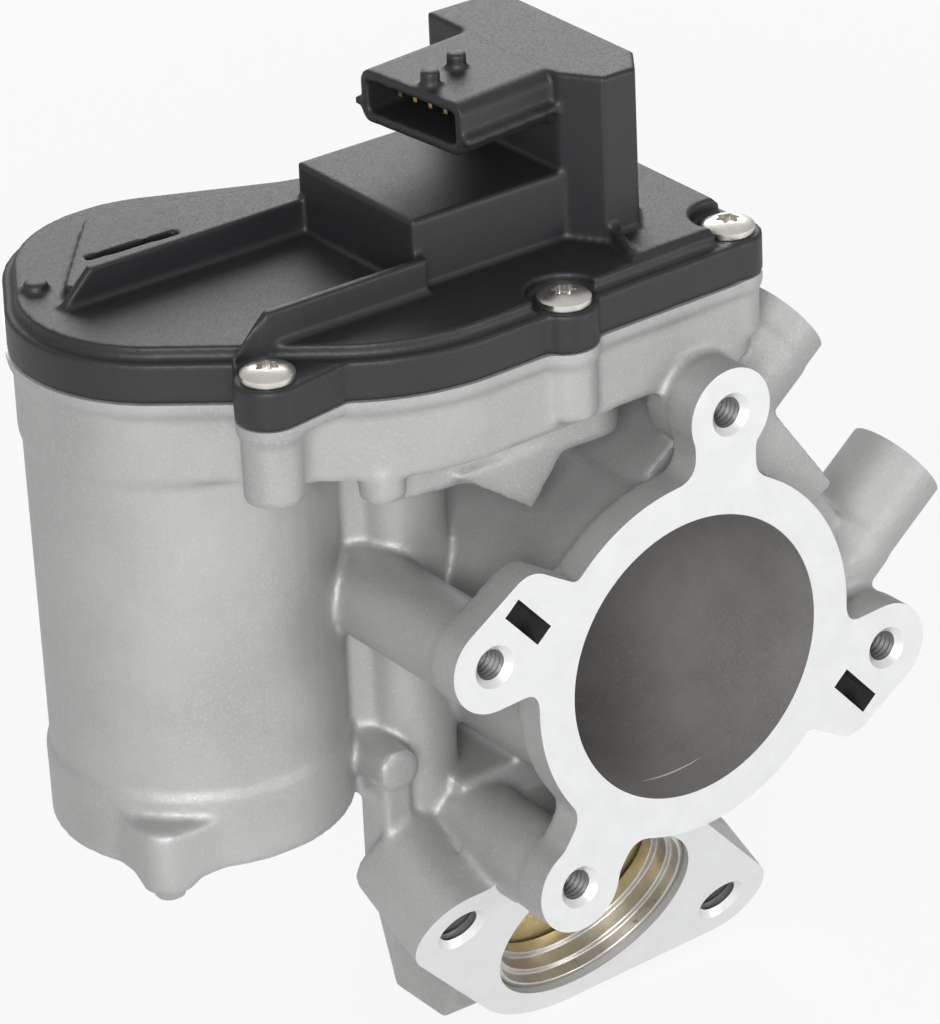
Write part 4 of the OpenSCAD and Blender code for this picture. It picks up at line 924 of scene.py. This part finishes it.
# Camera axes and place solved from the ellipses of the bore, the inlet and the flange
CAMERA_RIGHT = Vector((0.80465811, -0.59233236, -0.04083752))
CAMERA_UP = Vector((0.29596548, 0.34052856, 0.89243752))
CAMERA_BACK = Vector((-0.51471328, -0.73019359, 0.449319))
CAMERA_PLACE = CAMERA_RIGHT * -0.03476 + CAMERA_UP * 0.02236 + CAMERA_BACK * 0.9

# Name, place, diameter and power setting of each round lamp
LAMPS = (
    ("key", (-0.75, -0.85, 0.45), 0.6, "key_power"),
    ("fill", (0.5, -1.05, 0.0), 0.5, "fill_power"),
    ("back", (0.65, 0.95, 0.62), 0.9, "back_power"),
)


def white_rays(tree, gloss):
    """1 for camera rays and the gloss share for mirrored rays, which see a white background."""
    rays = tree.nodes.new("ShaderNodeLightPath")
    seen = add_node(tree, "ShaderNodeMath", operation="MULTIPLY_ADD", use_clamp=True)
    seen.inputs[1].default_value = gloss
    tree.links.new(rays.outputs["Is Glossy Ray"], seen.inputs[0])
    tree.links.new(rays.outputs["Is Camera Ray"], seen.inputs[2])
    return seen.outputs[0]


class EGR_OT_stage(bpy.types.Operator):
    """Sets up the pale floor, the soft studio light and the camera at the photograph's angle"""
    bl_idname = "egr.stage"
    bl_label = "Stage, light and camera"

    def execute(self, context):
        sizes = context.scene.egr_stage
        scene = context.scene
        floor_gap = 0.3 * MM
        floor_z = CAD_BOX[0].z - floor_gap
        bpy.ops.object.select_all(action="DESELECT")
        bpy.ops.mesh.primitive_plane_add(size=8, location=(0, 0, floor_z))
        floor = settle("floor")
        paint = bpy.data.materials.new("pale floor")
        paint.use_nodes = True
        tree = paint.node_tree
        shader = tree.nodes["Principled BSDF"]
        shader.inputs["Base Color"].default_value = (*sizes.floor_colour, 1)
        shader.inputs["Roughness"].default_value = 0.9
        glow = add_node(tree, "ShaderNodeEmission")
        glow.inputs["Strength"].default_value = 1.0
        share = add_node(tree, "ShaderNodeMath", operation="MULTIPLY")
        share.inputs[1].default_value = sizes.floor_white
        mixer = tree.nodes.new("ShaderNodeMixShader")
        link = tree.links.new
        link(white_rays(tree, 1.0), share.inputs[0])
        link(share.outputs[0], mixer.inputs[0])
        link(shader.outputs[0], mixer.inputs[1])
        link(glow.outputs[0], mixer.inputs[2])
        link(mixer.outputs[0], tree.nodes["Material Output"].inputs["Surface"])
        floor.data.materials.append(paint)

        centre = (CAD_BOX[0] + CAD_BOX[1]) / 2
        for name, place, size, power in LAMPS:
            lamp = bpy.data.lights.new(name, "AREA")
            lamp.shape = "DISK"
            lamp.size = size
            lamp.energy = getattr(sizes, power)
            light = bpy.data.objects.new(name, lamp)
            light.location = place
            light.rotation_euler = (Vector(place) - centre).to_track_quat("Z", "Y").to_euler()
            scene.collection.objects.link(light)

        world = bpy.data.worlds.new("plain surroundings")
        world.use_nodes = True
        scene.world = world
        tree = world.node_tree
        link = tree.links.new
        plain = tree.nodes["Background"]
        plain.inputs["Color"].default_value = (1, 1, 1, 1)
        where = tree.nodes.new("ShaderNodeTexCoord")
        height = tree.nodes.new("ShaderNodeSeparateXYZ")
        level = add_node(tree, "ShaderNodeMapRange", From_Min=0.1, From_Max=1.0,
                         To_Min=sizes.world_low, To_Max=sizes.world_level)
        link(where.outputs["Generated"], height.inputs["Vector"])
        link(height.outputs["Z"], level.inputs["Value"])
        link(level.outputs["Result"], plain.inputs["Strength"])
        white = add_node(tree, "ShaderNodeBackground")
        white.inputs["Color"].default_value = (1, 1, 1, 1)
        white.inputs["Strength"].default_value = 1.0
        mixer = tree.nodes.new("ShaderNodeMixShader")
        link(white_rays(tree, sizes.gloss_white), mixer.inputs[0])
        link(plain.outputs[0], mixer.inputs[1])
        link(white.outputs[0], mixer.inputs[2])
        link(mixer.outputs[0], tree.nodes["World Output"].inputs["Surface"])

        camera = bpy.data.cameras.new("camera")
        camera.lens = sizes.lens
        camera.sensor_width = 36
        camera.clip_start = 0.05
        camera.clip_end = 20
        view = bpy.data.objects.new("camera", camera)
        turn = Matrix((CAMERA_RIGHT, CAMERA_UP, CAMERA_BACK)).transposed().to_4x4()
        view.matrix_world = Matrix.Translation(CAMERA_PLACE) @ turn
        scene.collection.objects.link(view)
        scene.camera = view
        scene.view_settings.view_transform = "Standard"
        return {"FINISHED"}


# ---------------------------------------------------------------- panel and registration

class EGR_PT_looks(bpy.types.Panel):
    """Lists the sizes and colours of the valve's visible pieces, and the steps that build them"""
    bl_idname = "EGR_PT_looks"
    bl_label = "EGR Valve"
    bl_space_type = "VIEW_3D"
    bl_region_type = "UI"
    bl_category = "EGR Valve"

    def draw(self, context):
        for title, name, operators in PANEL_ROWS:
            box = self.layout.box()
            box.label(text=title)
            settings = getattr(context.scene, name, None)
            if settings is not None:
                for key in settings.bl_rna.properties.keys():
                    if key not in ("rna_type", "name"):
                        box.prop(settings, key)
            for operator in operators:
                box.operator(operator)


PANEL_ROWS = (
    ("Housing", "egr_housing", ("egr.housing",)),
    ("Cover", "egr_cover", ("egr.cover",)),
    ("Screws", "egr_screw", ("egr.cover_screws", "egr.rear_screws")),
    ("Flap", "egr_flap", ("egr.flap",)),
    ("CAD parts", "", ("egr.inner_parts",)),
    ("Stage", "egr_stage", ("egr.stage",)),
)
SETTINGS = {"egr_housing": EGR_PG_housing, "egr_cover": EGR_PG_cover, "egr_screw": EGR_PG_screw,
            "egr_flap": EGR_PG_flap, "egr_stage": EGR_PG_stage}
OPERATORS = (EGR_OT_stage, EGR_OT_housing, EGR_OT_cover, EGR_OT_cover_screws, EGR_OT_rear_screws,
             EGR_OT_flap, EGR_OT_inner_parts)


def register():
    for settings in SETTINGS.values():
        bpy.utils.register_class(settings)
    for kind in OPERATORS + (EGR_PT_looks,):
        bpy.utils.register_class(kind)
    for name, settings in SETTINGS.items():
        setattr(bpy.types.Scene, name, PointerProperty(type=settings))


def unregister():
    for name in SETTINGS:
        delattr(bpy.types.Scene, name)
    for kind in reversed(tuple(SETTINGS.values()) + OPERATORS + (EGR_PT_looks,)):
        bpy.utils.unregister_class(kind)


def main():
    register()
    for operator in OPERATORS:
        group, name = operator.bl_idname.split(".")
        if getattr(getattr(bpy.ops, group), name)() != {"FINISHED"}:
            raise RuntimeError(f"{operator.bl_idname} did not finish")


if __name__ == "__main__":
    main()
